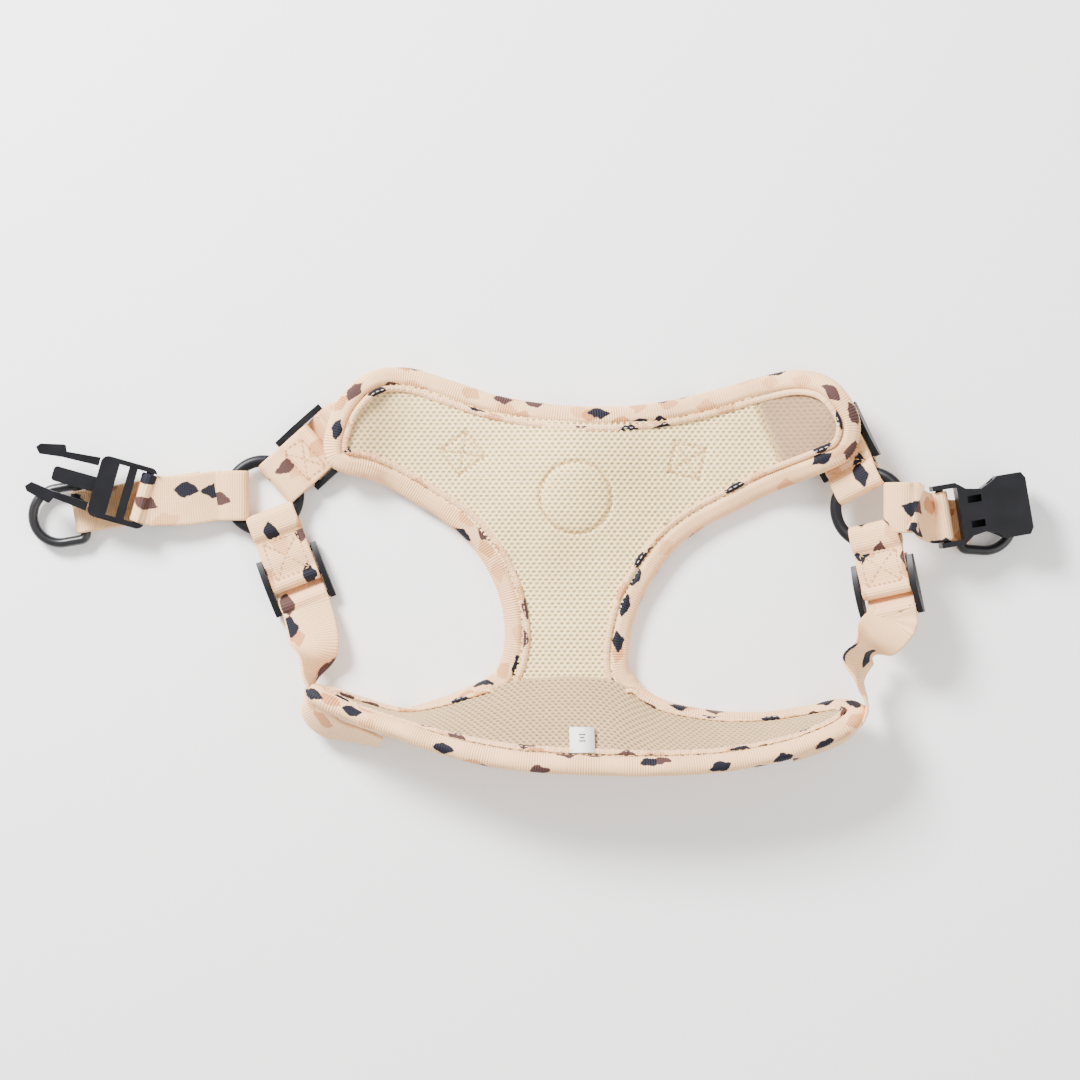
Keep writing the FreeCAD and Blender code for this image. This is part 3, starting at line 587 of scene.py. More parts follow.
def mesh_cloth(name, colour, tips):
    """Knitted air mesh: glossy monofilament with painted shade in its pits and painted highlight on its
    ridges; browner at the tips from a pinker knit and painted shade, and across the band from painted shade.
    """
    made, tree, shader = material(name, Specular_IOR_Level=0.3, Sheen_Weight=0.04)
    # Mixes in the tip colour by a per-point weight: a pinker, finer knit at the shoulder tips, plus painted
    # shade on the tips and across the belly band.
    tone = node(tree, "ShaderNodeAttribute", attribute_name="tone")
    ground = mixed(tree, tone.outputs["Fac"], (*colour, 1), (*tips, 1))
    mottled = group_node(tree, "mottling", Color=ground, Dark=0.9, Scale=30.0)
    place = node(tree, "ShaderNodeTexCoord")
    fuzz = node(tree, "ShaderNodeTexNoise", {"Vector": place.outputs["Object"], "Scale": 1500.0,
                                             "Detail": 2.0})
    deep = node(tree, "ShaderNodeAttribute", attribute_name="relief")
    # Painted shade in the cell pits and painted highlight on the ridges, scaled from the cell relief.
    shade = node(tree, "ShaderNodeMapRange", {0: deep.outputs["Fac"], 1: -0.5, 2: 0.16, 3: 0.4, 4: 1.1})
    strand = maths(tree, "MULTIPLY_ADD", fuzz.outputs[0], 0.5, 0.76)
    depth = maths(tree, "MULTIPLY", shade.outputs[0], strand)
    tinted = mixed(tree, 1.0, mottled.outputs[0], depth, "MULTIPLY")
    rough = maths(tree, "MULTIPLY_ADD", fuzz.outputs[0], 0.3, 0.3)
    finish(tree, shader, tinted, rough, fuzz.outputs[0], 0.5, 0.0004)
    return made


def thread_cloth(name, colour):
    """Twisted sewing thread, slightly glossy."""
    made, tree, shader = material(name, Roughness=0.42, Sheen_Weight=0.2)
    mottled = group_node(tree, "mottling", Color=(*colour, 1), Dark=0.75, Scale=400.0)
    tree.links.new(mottled.outputs[0], shader.inputs["Base Color"])
    return made


def moulded(name, colour, rough, grain, coat=0.0):
    """Moulded plastic, rubber or enamelled wire: fine grain with rubbed, slightly paler patches."""
    made, tree, shader = material(name, Specular_IOR_Level=0.2, Coat_Weight=coat, Coat_Roughness=0.3)
    place = node(tree, "ShaderNodeTexCoord")
    mottled = group_node(tree, "mottling", Color=(*colour, 1), Dark=0.7, Scale=120.0)
    skin = node(tree, "ShaderNodeTexNoise", {"Vector": place.outputs["Object"], "Scale": 3200.0,
                                             "Detail": 3.0})
    patch = maths(tree, "MULTIPLY_ADD", mottled.outputs["Value"], 0.25, rough - 0.12)
    finish(tree, shader, mottled.outputs[0], patch, skin.outputs[0], grain, 0.0002)
    return made


# ---- settings ------------------------------------------------------------------------------
class HarnessSettings(bpy.types.PropertyGroup):
    """Sizes and colours that a maker would change."""
    blush: FloatVectorProperty(name="Webbing colour", description="Ground colour of webbing and binding",
                               subtype="COLOR", default=(0.96, 0.58, 0.3))
    cream: FloatVectorProperty(name="Mesh colour", description="Colour of the air-mesh lining",
                               subtype="COLOR", default=(0.98, 0.74, 0.36))
    # The tip colour is the pinker tip knit darkened with painted shade, for tips and band tilting away from
    # the light.
    tips: FloatVectorProperty(name="Tip colour", description="Colour of the lining at the shoulder tips",
                              subtype="COLOR", default=(0.3, 0.165, 0.095))
    thread: FloatVectorProperty(name="Thread colour", description="Colour of the sewing thread",
                                subtype="COLOR", default=(0.72, 0.4, 0.15))
    black: FloatVectorProperty(name="Hardware colour", description="Colour of buckles, sliders and rings",
                               subtype="COLOR", default=(0.006, 0.006, 0.008))
    mesh_step: FloatProperty(name="Mesh step", description="Spacing of the lining's geometry",
                             subtype="DISTANCE", default=0.00046, min=0.0003, max=0.002)
    floor_size: FloatProperty(name="Floor size", description="Width of the floor", subtype="DISTANCE",
                              default=6.0, min=1.0)


class HARNESS_OT_finishes(bpy.types.Operator):
    """Make the cloth, thread, plastic and metal finishes"""
    bl_idname = "harness.finishes"
    bl_label = "Finishes"

    def execute(self, context):
        settings = context.scene.harness
        GROUPS["chip_print"] = chip_print_group()
        GROUPS["rib_weave"] = rib_group()
        GROUPS["mottling"] = mottling_group()
        blush, black = tuple(settings.blush), tuple(settings.black)
        MATERIALS["webbing"] = printed_cloth("blush_webbing", blush, 1100.0, 1500.0, 62.0, 0.3, 0.5)
        MATERIALS["binding"] = printed_cloth("edge_tape", blush, 1000.0, 0.0, 78.0, 0.42, 0.6)
        MATERIALS["shell"] = printed_cloth("printed_shell", blush, 1500.0, 1500.0, 70.0, 0.42, 0.25)
        MATERIALS["mesh"] = mesh_cloth("air_mesh", tuple(settings.cream), tuple(settings.tips))
        MATERIALS["thread"] = thread_cloth("golden_thread", tuple(settings.thread))
        MATERIALS["pale_thread"] = thread_cloth("blush_thread", (0.85, 0.64, 0.48))
        MATERIALS["dark_thread"] = thread_cloth("charcoal_thread", (0.03, 0.03, 0.035))
        MATERIALS["label"] = printed_cloth("label_tape", (0.86, 0.85, 0.82), 3000.0, 3000.0, 20.0, 0.0, 0.2)
        MATERIALS["plastic"] = moulded("black_plastic", black, 0.4, 0.12)
        MATERIALS["metal"] = moulded("black_enamel", (0.01, 0.01, 0.012), 0.32, 0.04, coat=0.5)
        MATERIALS["patch"] = moulded("blush_rubber", (0.62, 0.42, 0.33), 0.6, 0.3)
        return {"FINISHED"}


class HARNESS_OT_stage(bpy.types.Operator):
    """Lay the pale floor, the studio light and the camera straight above"""
    bl_idname = "harness.stage"
    bl_label = "Stage"

    def execute(self, context):
        scene = context.scene
        size = scene.harness.floor_size / 2.0
        mesh = bpy.data.meshes.new("floor")
        mesh.from_pydata([(-size, -size, 0), (size, -size, 0), (size, size, 0), (-size, size, 0)], [],
                         [(0, 1, 2, 3)])
        floor = bpy.data.objects.new("floor", mesh)
        scene.collection.objects.link(floor)
        mesh.materials.append(material("pale_floor", Base_Color=(0.93, 0.93, 0.93, 1), Roughness=0.9)[0])
        world = bpy.data.worlds.new("studio")
        world.use_nodes = True
        sky = world.node_tree.nodes["Background"]
        sky.inputs["Color"].default_value = (1.0, 0.99, 0.97, 1)
        sky.inputs["Strength"].default_value = 1.1
        scene.world = world
        lamps = [("key", (-0.7, 0.8, 0.8), 66.0, 0.4), ("fill", (0.8, -0.3, 0.9), 8.0, 1.0)]
        for name, spot, power, wide in lamps:
            light = bpy.data.lights.new(name, "AREA")
            light.energy, light.size = power, wide
            lamp = bpy.data.objects.new(name, light)
            lamp.location = spot
            lamp.rotation_euler = (Vector((0, 0, 0)) - Vector(spot)).to_track_quat("-Z", "Y").to_euler()
            scene.collection.objects.link(lamp)
        camera = bpy.data.cameras.new("camera")
        camera.lens = CAMERA_LENS
        holder = bpy.data.objects.new("camera", camera)
        aim = placed(CAMERA_AIM)
        holder.location = (aim[0], aim[1], CAMERA_HEIGHT)
        scene.collection.objects.link(holder)
        scene.camera = holder
        return {"FINISHED"}


# ---- the padded vest -----------------------------------------------------------------------
def puckers(x, y):
    """Soft unevenness of the padded yoke, in millimetres."""
    flat = np.column_stack([x.ravel(), y.ravel()])
    return np.array([wrinkle((a, b, 3.0), 17.0, 0.5) for a, b in flat]).reshape(x.shape)


def sewn_relief(x, y):
    """How far the lining is pulled down along its stitch lines, in millimetres."""
    pull = np.zeros(x.shape)
    radius = np.hypot(x - PATCH_CENTRE[0], y - PATCH_CENTRE[1])
    pull += 0.9 * np.exp(-((radius - CIRCLE_RADIUS) / 0.8) ** 2)
    pull -= 0.9 * np.clip(1.0 - (radius / CIRCLE_RADIUS) ** 4, 0.0, 1.0)
    for (cx, cy), turn in BOX_STITCHES:
        angle = math.radians(turn)
        a = (x - cx) * math.cos(angle) + (y - cy) * math.sin(angle)
        b = -(x - cx) * math.sin(angle) + (y - cy) * math.cos(angle)
        reach = np.maximum(np.abs(a), np.abs(b))
        near = reach < 7.5
        pull += 0.6 * np.exp(-((reach - BOX_HALF) / 0.7) ** 2)
        for line in (a - b, a + b):
            pull += 0.35 * near * np.exp(-(line / 0.9) ** 2)
    (x0, y0), (x1, y1) = ARM_SEAMS[1]
    away = ((x - x0) * (y1 - y0) - (y - y0) * (x1 - x0)) / math.hypot(x1 - x0, y1 - y0)
    return pull + 0.6 * np.exp(-(away / 0.8) ** 2)


def band_grid(step, inset):
    """Middle surface of the belly band: rows run from the armhole edge to the belly edge."""
    armhole = smooth([pair[0] for pair in BAND], 12)
    belly = smooth([pair[1] for pair in BAND], 12)
    rows = np.hstack([armhole, belly])
    run = resampled(rows, step, False)
    width = np.linalg.norm(run[:, 3:] - run[:, :3], axis=1)
    count = int(width.max() / step)
    t = np.linspace(inset / 30.0, 1.0 - inset / 30.0, count)
    a, b = run[:, None, :3], run[:, None, 3:]
    flat = a + (b - a) * t[None, :, None]
    rise = (b - a) / np.linalg.norm(b - a, axis=2, keepdims=True)
    normal = np.cross(np.array([1.0, 0.0, 0.0]), rise)
    normal = np.where(normal[..., 1:2] < 0, -normal, normal)
    u = np.repeat(run[:, 0][:, None], count, 1)
    v = t[None, :] * width[:, None]
    return flat, np.repeat(normal, count, 1), u, v


class HARNESS_OT_lining(bpy.types.Operator):
    """Knit the air-mesh lining over the yoke, the waist and the belly band"""
    bl_idname = "harness.lining"
    bl_label = "Air-mesh lining"

    def execute(self, context):
        step = context.scene.harness.mesh_step / MM
        level = VEST_HALF / MM
        sides = smooth(LEFT_ARMHOLE + NECK_EDGE + RIGHT_ARMHOLE, 8)
        outline = np.vstack([sides, [[38.5, -47.0], [-9.2, -47.0]]])
        x, y = np.meshgrid(np.arange(-82.0, 132.0, step * 1.15), np.arange(-47.0, 79.0, step))
        keep = inside(x, y, outline)
        coarse_x, coarse_y = np.meshgrid(np.arange(-84.0, 136.0, 2.0), np.arange(-49.0, 81.0, 2.0))
        coarse = puckers(coarse_x, coarse_y)
        col = (x - coarse_x[0, 0]) / 2.0
        row = (y - coarse_y[0, 0]) / 2.0
        c0, r0 = col.astype(int), row.astype(int)
        fc, fr = col - c0, row - r0
        lift = (coarse[r0, c0] * (1 - fc) * (1 - fr) + coarse[r0, c0 + 1] * fc * (1 - fr)
                + coarse[r0 + 1, c0] * (1 - fc) * fr + coarse[r0 + 1, c0 + 1] * fc * fr)
        # Weight of the tip colour: finer knit and painted shade on the shoulder tips.
        tone = past_seam(x, y)
        relief = cell_relief(x, y) * (1.0 - 0.7 * np.clip(tone, 0.0, 1.0))
        z = vest_height(x, y) + level + lift + relief - sewn_relief(x, y)
        points = placed(np.stack([x, y, z], -1))
        uvs = np.stack([x, y], -1) * MM
        mesh = grid_mesh("lining_yoke", points, keep, uvs, relief=relief, tone=tone)
        yoke = add_piece("lining_yoke", mesh, "mesh")
        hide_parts("mesh_lining")

        flat, normal, u, v = band_grid(step * 1.1, 1.5)
        relief = cell_relief(u, v)
        surface = flat + normal * (level + relief)[..., None]
        # The whole belly band takes part of the tip colour as painted shade.
        mesh = grid_mesh("lining_band", placed(surface), np.ones(u.shape, bool), np.stack([u, v], -1) * MM,
                         relief=relief, tone=np.full(relief.shape, BAND_PAINTED_SHADE))
        mesh.flip_normals()
        band = add_piece("lining_band", mesh, "mesh")
        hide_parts("mesh_lining")
        return {"FINISHED"}


def swell(piece, pressure, cap, frames=20):
    """Blows a remeshed pad up with cloth pressure, no point moving further than cap."""
    start = vertex_spots(piece.data)
    cloth = piece.modifiers.new("cloth", "CLOTH")
    cloth.settings.quality = 5
    cloth.settings.use_pressure = True
    cloth.settings.uniform_pressure_force = pressure
    cloth.settings.effector_weights.gravity = 0.0
    scene = bpy.context.scene
    for number in range(1, frames + 1):
        scene.frame_set(number)
    evaluated = piece.evaluated_get(bpy.context.evaluated_depsgraph_get())
    shift = vertex_spots(evaluated.data) - start
    piece.modifiers.remove(cloth)
    scene.frame_set(1)
    length = np.linalg.norm(shift, axis=1)[:, None]
    shift *= np.minimum(1.0, cap / np.maximum(length, 1e-9))
    piece.data.vertices.foreach_set("co", (start + shift).ravel())
    piece.data.update()


def settle_pad(mesh):
    """Sinks the stuffed shell below the lining, most of all in the crease between yoke and band."""
    spots = vertex_spots(mesh)
    crease_y = placed((0.0, -43.0, 0.0))[1]
    band = np.clip((crease_y - spots[:, 1]) / (8.0 * MM), 0.0, 1.0)[:, None]
    drop = (1.0 - band) * np.array((0.0, 0.0, -0.85)) + band * np.array((0.0, -0.6, -0.6))
    fold = np.exp(-((spots[:, 1] - crease_y) / (7.0 * MM)) ** 2)[:, None]
    low = (spots[:, 2:] < 14.0 * MM) & (np.abs(spots[:, :1] - 15.0 * MM) < 34.0 * MM)
    spots += (drop + fold * low * np.array((0.0, -0.2, -1.2))) * MM
    mesh.vertices.foreach_set("co", spots.ravel())
    mesh.update()


class HARNESS_OT_shell(bpy.types.Operator):
    """Stuff the printed outer shell: the foam pad remeshed and swollen as cloth"""
    bl_idname = "harness.shell"
    bl_label = "Padded outer shell"

    def execute(self, context):
        source = frame["nodes"]["foam_core"]
        piece = bpy.data.objects.new("padded_shell", source.data.copy())
        context.scene.collection.objects.link(piece)
        piece.data.materials.clear()
        remesh = piece.modifiers.new("remesh", "REMESH")
        remesh.mode = "VOXEL"
        remesh.voxel_size = 1.5 * MM
        relax = piece.modifiers.new("relax", "SMOOTH")
        relax.iterations = 4
        mesh = bpy.data.meshes.new_from_object(piece.evaluated_get(context.evaluated_depsgraph_get()))
        piece.modifiers.clear()
        piece.data = mesh
        swell(piece, 4.0, 0.6 * MM)
        settle_pad(mesh)
        mesh.materials.clear()
        mesh.materials.append(MATERIALS["shell"])
        fill_uvs(mesh, vertex_spots(mesh)[:, :2])
        mesh.shade_smooth()
        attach(piece, "vest")
        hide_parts("outer_shell", "foam_core")
        return {"FINISHED"}


def binding_inward(line):
    """Directions from the binding into the vest, worked out from the sewn surfaces."""
    ahead = headings(line, closed=True)
    armhole = smooth([pair[0] for pair in BAND], 12)
    belly = smooth([pair[1] for pair in BAND], 12)
    middle = (armhole + belly) / 2.0
    inward = np.empty(line.shape)
    for index, spot in enumerate(line):
        on_band = spot[1] < -47.0 or (spot[1] < -40.0 and spot[2] > 12.0)
        if on_band:
            target = middle[np.argmin(np.abs(middle[:, 0] - spot[0]))]
            inward[index] = target - spot
        else:
            inward[index] = np.cross((0.0, 0.0, -1.0), ahead[index])
    inward -= (inward * ahead).sum(axis=1)[:, None] * ahead
    inward /= np.linalg.norm(inward, axis=1)[:, None]
    for turn in range(40):
        inward = (np.roll(inward, 1, axis=0) + inward * 2.0 + np.roll(inward, -1, axis=0)) / 4.0
    return inward / np.linalg.norm(inward, axis=1)[:, None]


class HARNESS_OT_binding(bpy.types.Operator):
    """Fold the ribbed edge tape all round the vest and stitch its lip"""
    bl_idname = "harness.binding"
    bl_label = "Edge binding"

    def execute(self, context):
        line = resampled(binding_line(), TAPE_RIB / 4.0, closed=True)
        inward = binding_inward(line)
        radius = BINDING_RADIUS / MM
        section = []
        for step in range(28):
            angle = 2.0 * math.pi * step / 28
            out = -math.cos(angle)
            wide = radius * (0.98 if out < 0 else 1.08)
            section.append((-out * wide, math.sin(angle) * radius * (0.94 if out < 0 else 0.84)))
        section = np.array(section) * MM
        phase = np.arange(len(line)) / 4.0 * 2.0 * math.pi
        slow = np.array([wrinkle(spot, 22.0, 0.05) for spot in line])
        bump = 1.0 + 0.03 * np.sin(phase) + slow
        part = sweep(placed(line), inward, section, closed=True, bump=bump)
        piece = add_piece("binding", [part], "binding")
        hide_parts("edge_binding")
        up = np.cross(headings(line, closed=True), inward)
        up = np.where(((up * np.array([0.0, 0.35, 1.0])).sum(axis=1) < 0)[:, None], -up, up)
        pucker = np.array([wrinkle(spot, 1.7, 0.3) for spot in line])[:, None]
        lip = line + inward * (radius + 0.6) + up * (VEST_HALF / MM + 0.3 + pucker)
        edge = [(-1.3, 0.0), (-0.9, 0.4), (0.0, 0.48), (0.9, 0.4), (1.2, 0.0), (0.9, -0.6), (-0.9, -0.6)]
        part = sweep(placed(lip), inward, np.array(edge) * MM, closed=True)
        add_piece("binding_lip", [part], "binding")
        sewn = lip + up * 0.6
        parts = stitch_row(placed(sewn), up, pitch=2.3 * MM, thick=0.36 * MM, closed=True)
        add_piece("binding_stitches", parts, "pale_thread")
        return {"FINISHED"}


class HARNESS_OT_stitching(bpy.types.Operator):
    """Sew the circle, the two box stitches and the right arm seam through the lining"""
    bl_idname = "harness.stitching"
    bl_label = "Lining stitches"

    def execute(self, context):
        level = VEST_HALF / MM + 0.1
        turns = np.linspace(0.0, 2.0 * math.pi, 90, endpoint=False)
        runs = [(np.column_stack([PATCH_CENTRE[0] + CIRCLE_RADIUS * np.cos(turns),
                                  PATCH_CENTRE[1] + CIRCLE_RADIUS * np.sin(turns)]), True)]
        for (cx, cy), turn in BOX_STITCHES:
            c, s = math.cos(math.radians(turn)), math.sin(math.radians(turn))
            along, across = BOX_HALF * np.array((c, s)), BOX_HALF * np.array((-s, c))
            for line in box_lines(np.array((cx, cy)), along, across):
                runs.append((resampled(line, 1.0), False))
        runs.append((resampled(np.array(ARM_SEAMS[1]), 1.0)[2:-2], False))
        parts = []
        for flat, closed in runs:
            x, y = flat[:, 0], flat[:, 1]
            z = vest_height(x, y) + level + puckers(x, y) - sewn_relief(x, y) * 0.5
            points = placed(np.column_stack([flat, z]))
            ups = np.tile((0.0, 0.0, 1.0), (len(flat), 1))
            parts += stitch_row(points, ups, pitch=2.2 * MM, thick=0.4 * MM, closed=closed)
        add_piece("lining_stitches", parts, "thread")
        return {"FINISHED"}


class HARNESS_OT_label(bpy.types.Operator):
    """Sew in the small size label, marked with plain bars"""
    bl_idname = "harness.label"
    bl_label = "Size label"

    def execute(self, context):
        flat, normal, u, v = band_grid(0.5, 0.0)
        centre = np.array(box_centre("size_label")) / MM - SHIFT
        column = int(np.argmin(np.abs(u[:, 0] - centre[0])))
        belly, rise = flat[column, -1], flat[column, -1] - flat[column, 0]
        down = -rise / np.linalg.norm(rise)
        up = normal[column, -1]
        start = belly + down * 3.2 + up * (VEST_HALF / MM + 0.4)
        rows = []
        for index in range(9):
            t = index / 8.0
            rows.append(start + down * (t * 12.5) + up * (0.35 + 0.9 * math.sin(t * 2.4)))
        half = 4.9 * MM
        section = [(-half, 0.16 * MM), (half, 0.16 * MM), (half, -0.16 * MM), (-half, -0.16 * MM)]
        points = placed(smooth(rows, 3))
        sides = np.tile((1.0, 0.0, 0.0), (len(points), 1))
        label = add_piece("woven_label", [sweep(points, sides, section)], "label")
        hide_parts("size_label")
        bars = []
        across = np.array((1.0, 0.0, 0.0))
        for place, wide in ((10, 2.6), (13, 1.8), (16, 2.6)):
            spot = points[place] + up * 0.24 * MM
            ends = np.array([spot - across * wide * 0.5 * MM, spot + across * wide * 0.5 * MM])
            bars += stitch_row(ends, np.array([up, up]), pitch=0.8 * MM, fill=1.0, thick=0.6 * MM)
        add_piece("label_bars", bars, "dark_thread")
        return {"FINISHED"}


# ---- webbing -------------------------------------------------------------------------------
class Flank:
    """One side's O-ring plane, read from the frame."""

    def __init__(self, side):
        self.centre = np.array(box_centre(side + "_o_ring"))
        self.normal = pivot(side + "_ring_spin")[1]

    def heading(self, node_name):
        """Unit direction in the ring's plane towards a node, and its reach."""
        toward = np.array(box_centre(node_name)) - self.centre
        toward = toward - self.normal * (toward * self.normal).sum()
        reach = np.linalg.norm(toward)
        return toward / reach, reach

    def point(self, along, reach, level):
        """Point at a reach from the ring's middle and a level above its plane, in metres."""
        return self.centre + along * reach + self.normal * level


def ring_slot():
    """Inner and outer reach and half height of the eye that webbing makes round an O-ring's rod."""
    inner = math.sqrt(RING_RADIUS ** 2 - (WEB_WIDTH / 2) ** 2) - RING_ROD_WIDE / 2.0 - WEB_PLAY
    outer = RING_RADIUS + RING_ROD_WIDE / 2.0 + WEB_PLAY
    return inner, outer, RING_ROD_HIGH / 2.0 + WEB_PLAY


def arc(centre, radius, start, end, count):
    """Points (reach, level) on an arc, angles in degrees from the outward direction."""
    angles = np.radians(np.linspace(start, end, count))
    return [(centre[0] + radius * math.cos(a), centre[1] + radius * math.sin(a)) for a in angles]


def tab_profile(reach, bar_level, side_level):
    """Closed centreline of a sewn tab: round the ring's rod, along, and round the slider's bar."""
    inner, outer, high = ring_slot()
    half = WEB_THICK / 2.0
    radius = high + half
    leg = half * 1.04
    bar = 1.3 * MM + WEB_PLAY + half
    mid = reach - 9.8 * MM
    profile = [(outer + 1.0 * MM, leg + 0.2 * MM)]
    profile += [(outer - high, radius)]
    profile += arc((inner + high, 0.0), radius, 90, 270, 7)
    profile += [(outer - high, -radius), (outer + 1.0 * MM, -leg + 0.2 * MM), (mid, side_level - leg),
                (reach - 3.4 * MM, bar_level * 0.6 + side_level * 0.4 - leg)]
    profile += arc((reach, bar_level), bar, -110, 110, 7)
    profile += [(reach - 3.4 * MM, bar_level * 0.6 + side_level * 0.4 + leg), (mid, side_level + leg)]
    return profile


def ring_loop_profile(reach):
    """Open centreline of the back strap's fold round the ring."""
    inner, outer, high = ring_slot()
    half = WEB_THICK / 2.0
    radius = high + half
    leg = half * 1.04
    upper = [(reach, leg), (outer + 1.4 * MM, leg), (outer - high, radius)]
    lower = [(outer - high, -radius), (outer + 1.4 * MM, -leg), (reach, -leg)]
    return upper + arc((inner + high, 0.0), radius, 90, 270, 7) + lower


LEVELS = {"ring": 5.1 * MM, "bar": 4.8 * MM, "side": 6.1 * MM, "strap": 0.9 * MM, "over": 5.4 * MM}


class HARNESS_OT_tabs(bpy.types.Operator):
    """Fold the neck and girth tabs round the O-rings and sliders, with box stitching"""
    bl_idname = "harness.tabs"
    bl_label = "Ring tabs"

    def execute(self, context):
        for side in ("left", "right"):
            flank = Flank(side)
            for kind in ("neck", "girth"):
                along, reach = flank.heading(side + "_" + kind + "_slider")
                across = np.cross(flank.normal, along)
                profile = tab_profile(reach, LEVELS["bar"] - LEVELS["ring"], LEVELS["side"] - LEVELS["ring"])
                points = np.array([flank.point(along, s, z) for s, z in profile])
                sides = np.tile(across, (len(points), 1))
                part = strap(points, sides, spacing=0.7 * MM, closed=True)
                name = side + "_" + kind + "_webbing_tab"
                piece = add_piece(name, [part], "webbing")
                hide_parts(side + "_" + kind + "_tab")
                level = LEVELS["side"] - LEVELS["ring"] + WEB_THICK * 0.98
                start, end = RING_RADIUS + 3.6 * MM, reach - 2.6 * MM
                middle = flank.point(along, (start + end) / 2.0, level)
                parts = box_stitch(middle, along * (end - start) / 2.0, across * TAB_BOX_WIDTH / 2.0,
                                   flank.normal)
                add_piece(name + "_stitches", parts, "thread")
        return {"FINISHED"}


def stations(pairs):
    """Pattern stations (centre, width direction) as two arrays in metres."""
    points = placed([centre for centre, across in pairs])
    sides = np.array([np.array(across, float) / np.linalg.norm(across) for centre, across in pairs])
    return points, sides


def under_yoke(x, y):
    """A place where a strap's end is sewn under the yoke, in pattern millimetres."""
    return (x, y, float(vest_height(x, y)) - VEST_HALF / MM - 0.95)


FREE_RUNS = {
    "left_neck": [(under_yoke(-62.0, 61.0), (-0.25, 1, 0)), (under_yoke(-53.0, 61.0), (-0.1, 1, 0))],
    "right_neck": [(under_yoke(108.0, 58.0), (-0.1, -1, 0)), (under_yoke(97.0, 57.0), (0, -1, 0))],
    "left_girth": [((-85.6, -29.0, 9.0), (0.62, 0.72, -0.3)), ((-87.4, -44.0, 14.5), (0.1, 0.2, -0.97)),
                   ((-85.0, -55.6, 16.0), (-0.62, 0.0, -0.78)), ((-78.0, -62.6, 16.0), (-0.62, -0.2, -0.75)),
                   ((-68.0, -65.5, 15.5), (-0.3, -0.3, -0.9)), ((-58.0, -68.5, 15.0), (-0.05, -0.25, -0.95))],
    "right_girth": [((138.5, -27.0, 18.0), (0.9, 0.4, 0.1)), ((131.8, -34.5, 16.5), (0.7, 0.55, -0.45)),
                    ((131.8, -44.0, 17.5), (0.2, 0.2, -0.95)), ((134.4, -55.0, 18.5), (0.1, 0.0, -1.0)),
                    ((127.0, -65.6, 18.0), (0.0, -0.25, -0.95)), ((105.0, -73.5, 17.0), (0.0, -0.35, -0.93))],
}


class HARNESS_OT_straps(bpy.types.Operator):
    """Thread the long neck and girth straps through their sliders and sew them to the vest"""
    bl_idname = "harness.straps"
    bl_label = "Long straps"

    def execute(self, context):
        for side in ("left", "right"):
            flank = Flank(side)
            for kind in ("neck", "girth"):
                along, reach = flank.heading(side + "_" + kind + "_slider")
                across = np.cross(flank.normal, along)
                low = LEVELS["strap"] - LEVELS["ring"]
                over = LEVELS["over"] - LEVELS["ring"]
                path = [(reach - 12.8 * MM, low), (reach, low), (reach + 3.0 * MM, low + 0.15 * MM),
                        (reach + 7.8 * MM, over + 0.25 * MM), (reach + 10.3 * MM, over + 0.15 * MM),
                        (reach + 12.8 * MM, over)]
                points = np.array([flank.point(along, s, z) for s, z in path])
                sides = np.tile(across, (len(path), 1))
                more_points, more_sides = stations(FREE_RUNS[side + "_" + kind])
                points = np.vstack([points, more_points])
                sides = np.vstack([sides, more_sides])
                name = side + "_" + kind + "_webbing"
                piece = add_piece(name, [strap(points, sides)], "webbing")
                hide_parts(side + "_" + kind + "_strap")
        return {"FINISHED"}


class HARNESS_OT_back_straps(bpy.types.Operator):
    """Run each back strap from its ring to its buckle half, bending at the fold"""
    bl_idname = "harness.back_straps"
    bl_label = "Back straps"

    def execute(self, context):
        for side in ("left", "right"):
            flank = Flank(side)
            fold = pivot(side + "_back_fold")[0]
            along = fold - flank.centre
            along /= np.linalg.norm(along)
            across = np.cross(flank.normal, along)
            reach = np.linalg.norm(fold - flank.centre)
            profile = ring_loop_profile(reach - 1.0 * MM)
            loop = np.array([flank.point(along, s, z) for s, z in profile])
            bar, heading, tip = buckle_bar(side)
            up = np.cross(heading, tip)
            up = up if up[2] > 0 else -up
            leg = WEB_THICK * 0.52
            eye = 1.6 * MM + WEB_PLAY + WEB_THICK / 2.0
            sign = 1.0 if (across * tip).sum() > 0 else -1.0
            turn = round_bar(bar, heading, up, eye, np.linspace(-100, 100, 7))
            near = bar - heading * 4.0 * MM
            middle = (fold + bar - heading * 8.0 * MM) * 0.5 + up * 0.6 * MM
            run = list(loop) + [middle - up * leg, near - up * leg] + turn
            run += [near + up * leg, middle + up * leg]
            halfway = across + tip * sign
            sides = [across] * len(loop) + [halfway] + [tip * sign] * (len(turn) + 2) + [halfway]
            name = side + "_back_webbing"
            part = strap(np.array(run), np.array(sides), closed=True)
            piece = add_piece(name, [part], "webbing", body=None)
            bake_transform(piece)
            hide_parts(side + "_ring_loop", side + "_back_strap")
        return {"FINISHED"}


def buckle_bar(side):
    """Rear bar of a buckle half: its middle, the buckle's heading and the bar's direction."""
    if side == "left":
        first, axis = pivot("upper_prong_press")
        second = pivot("lower_prong_press")[0]
        tip = (first - second) / np.linalg.norm(first - second)
        heading = np.cross(tip, axis)
        heading = heading if heading[0] < 0 else -heading
        return (first + second) / 2.0 - heading * 20.0 * MM, heading, tip
    heading = np.array((math.cos(RIGHT_BUCKLE_YAW), math.sin(RIGHT_BUCKLE_YAW), 0.0))
    tip = np.array((-math.sin(RIGHT_BUCKLE_YAW), math.cos(RIGHT_BUCKLE_YAW), 0.0))
    return np.array(box_centre("female_buckle")) - heading * 15.5 * MM, heading, tip


def round_bar(bar, heading, up, radius, angles):
    """Centreline round a bar, angles in degrees from its heading."""
    return [bar + heading * (radius * math.cos(a)) + up * (radius * math.sin(a)) for a in np.radians(angles)]


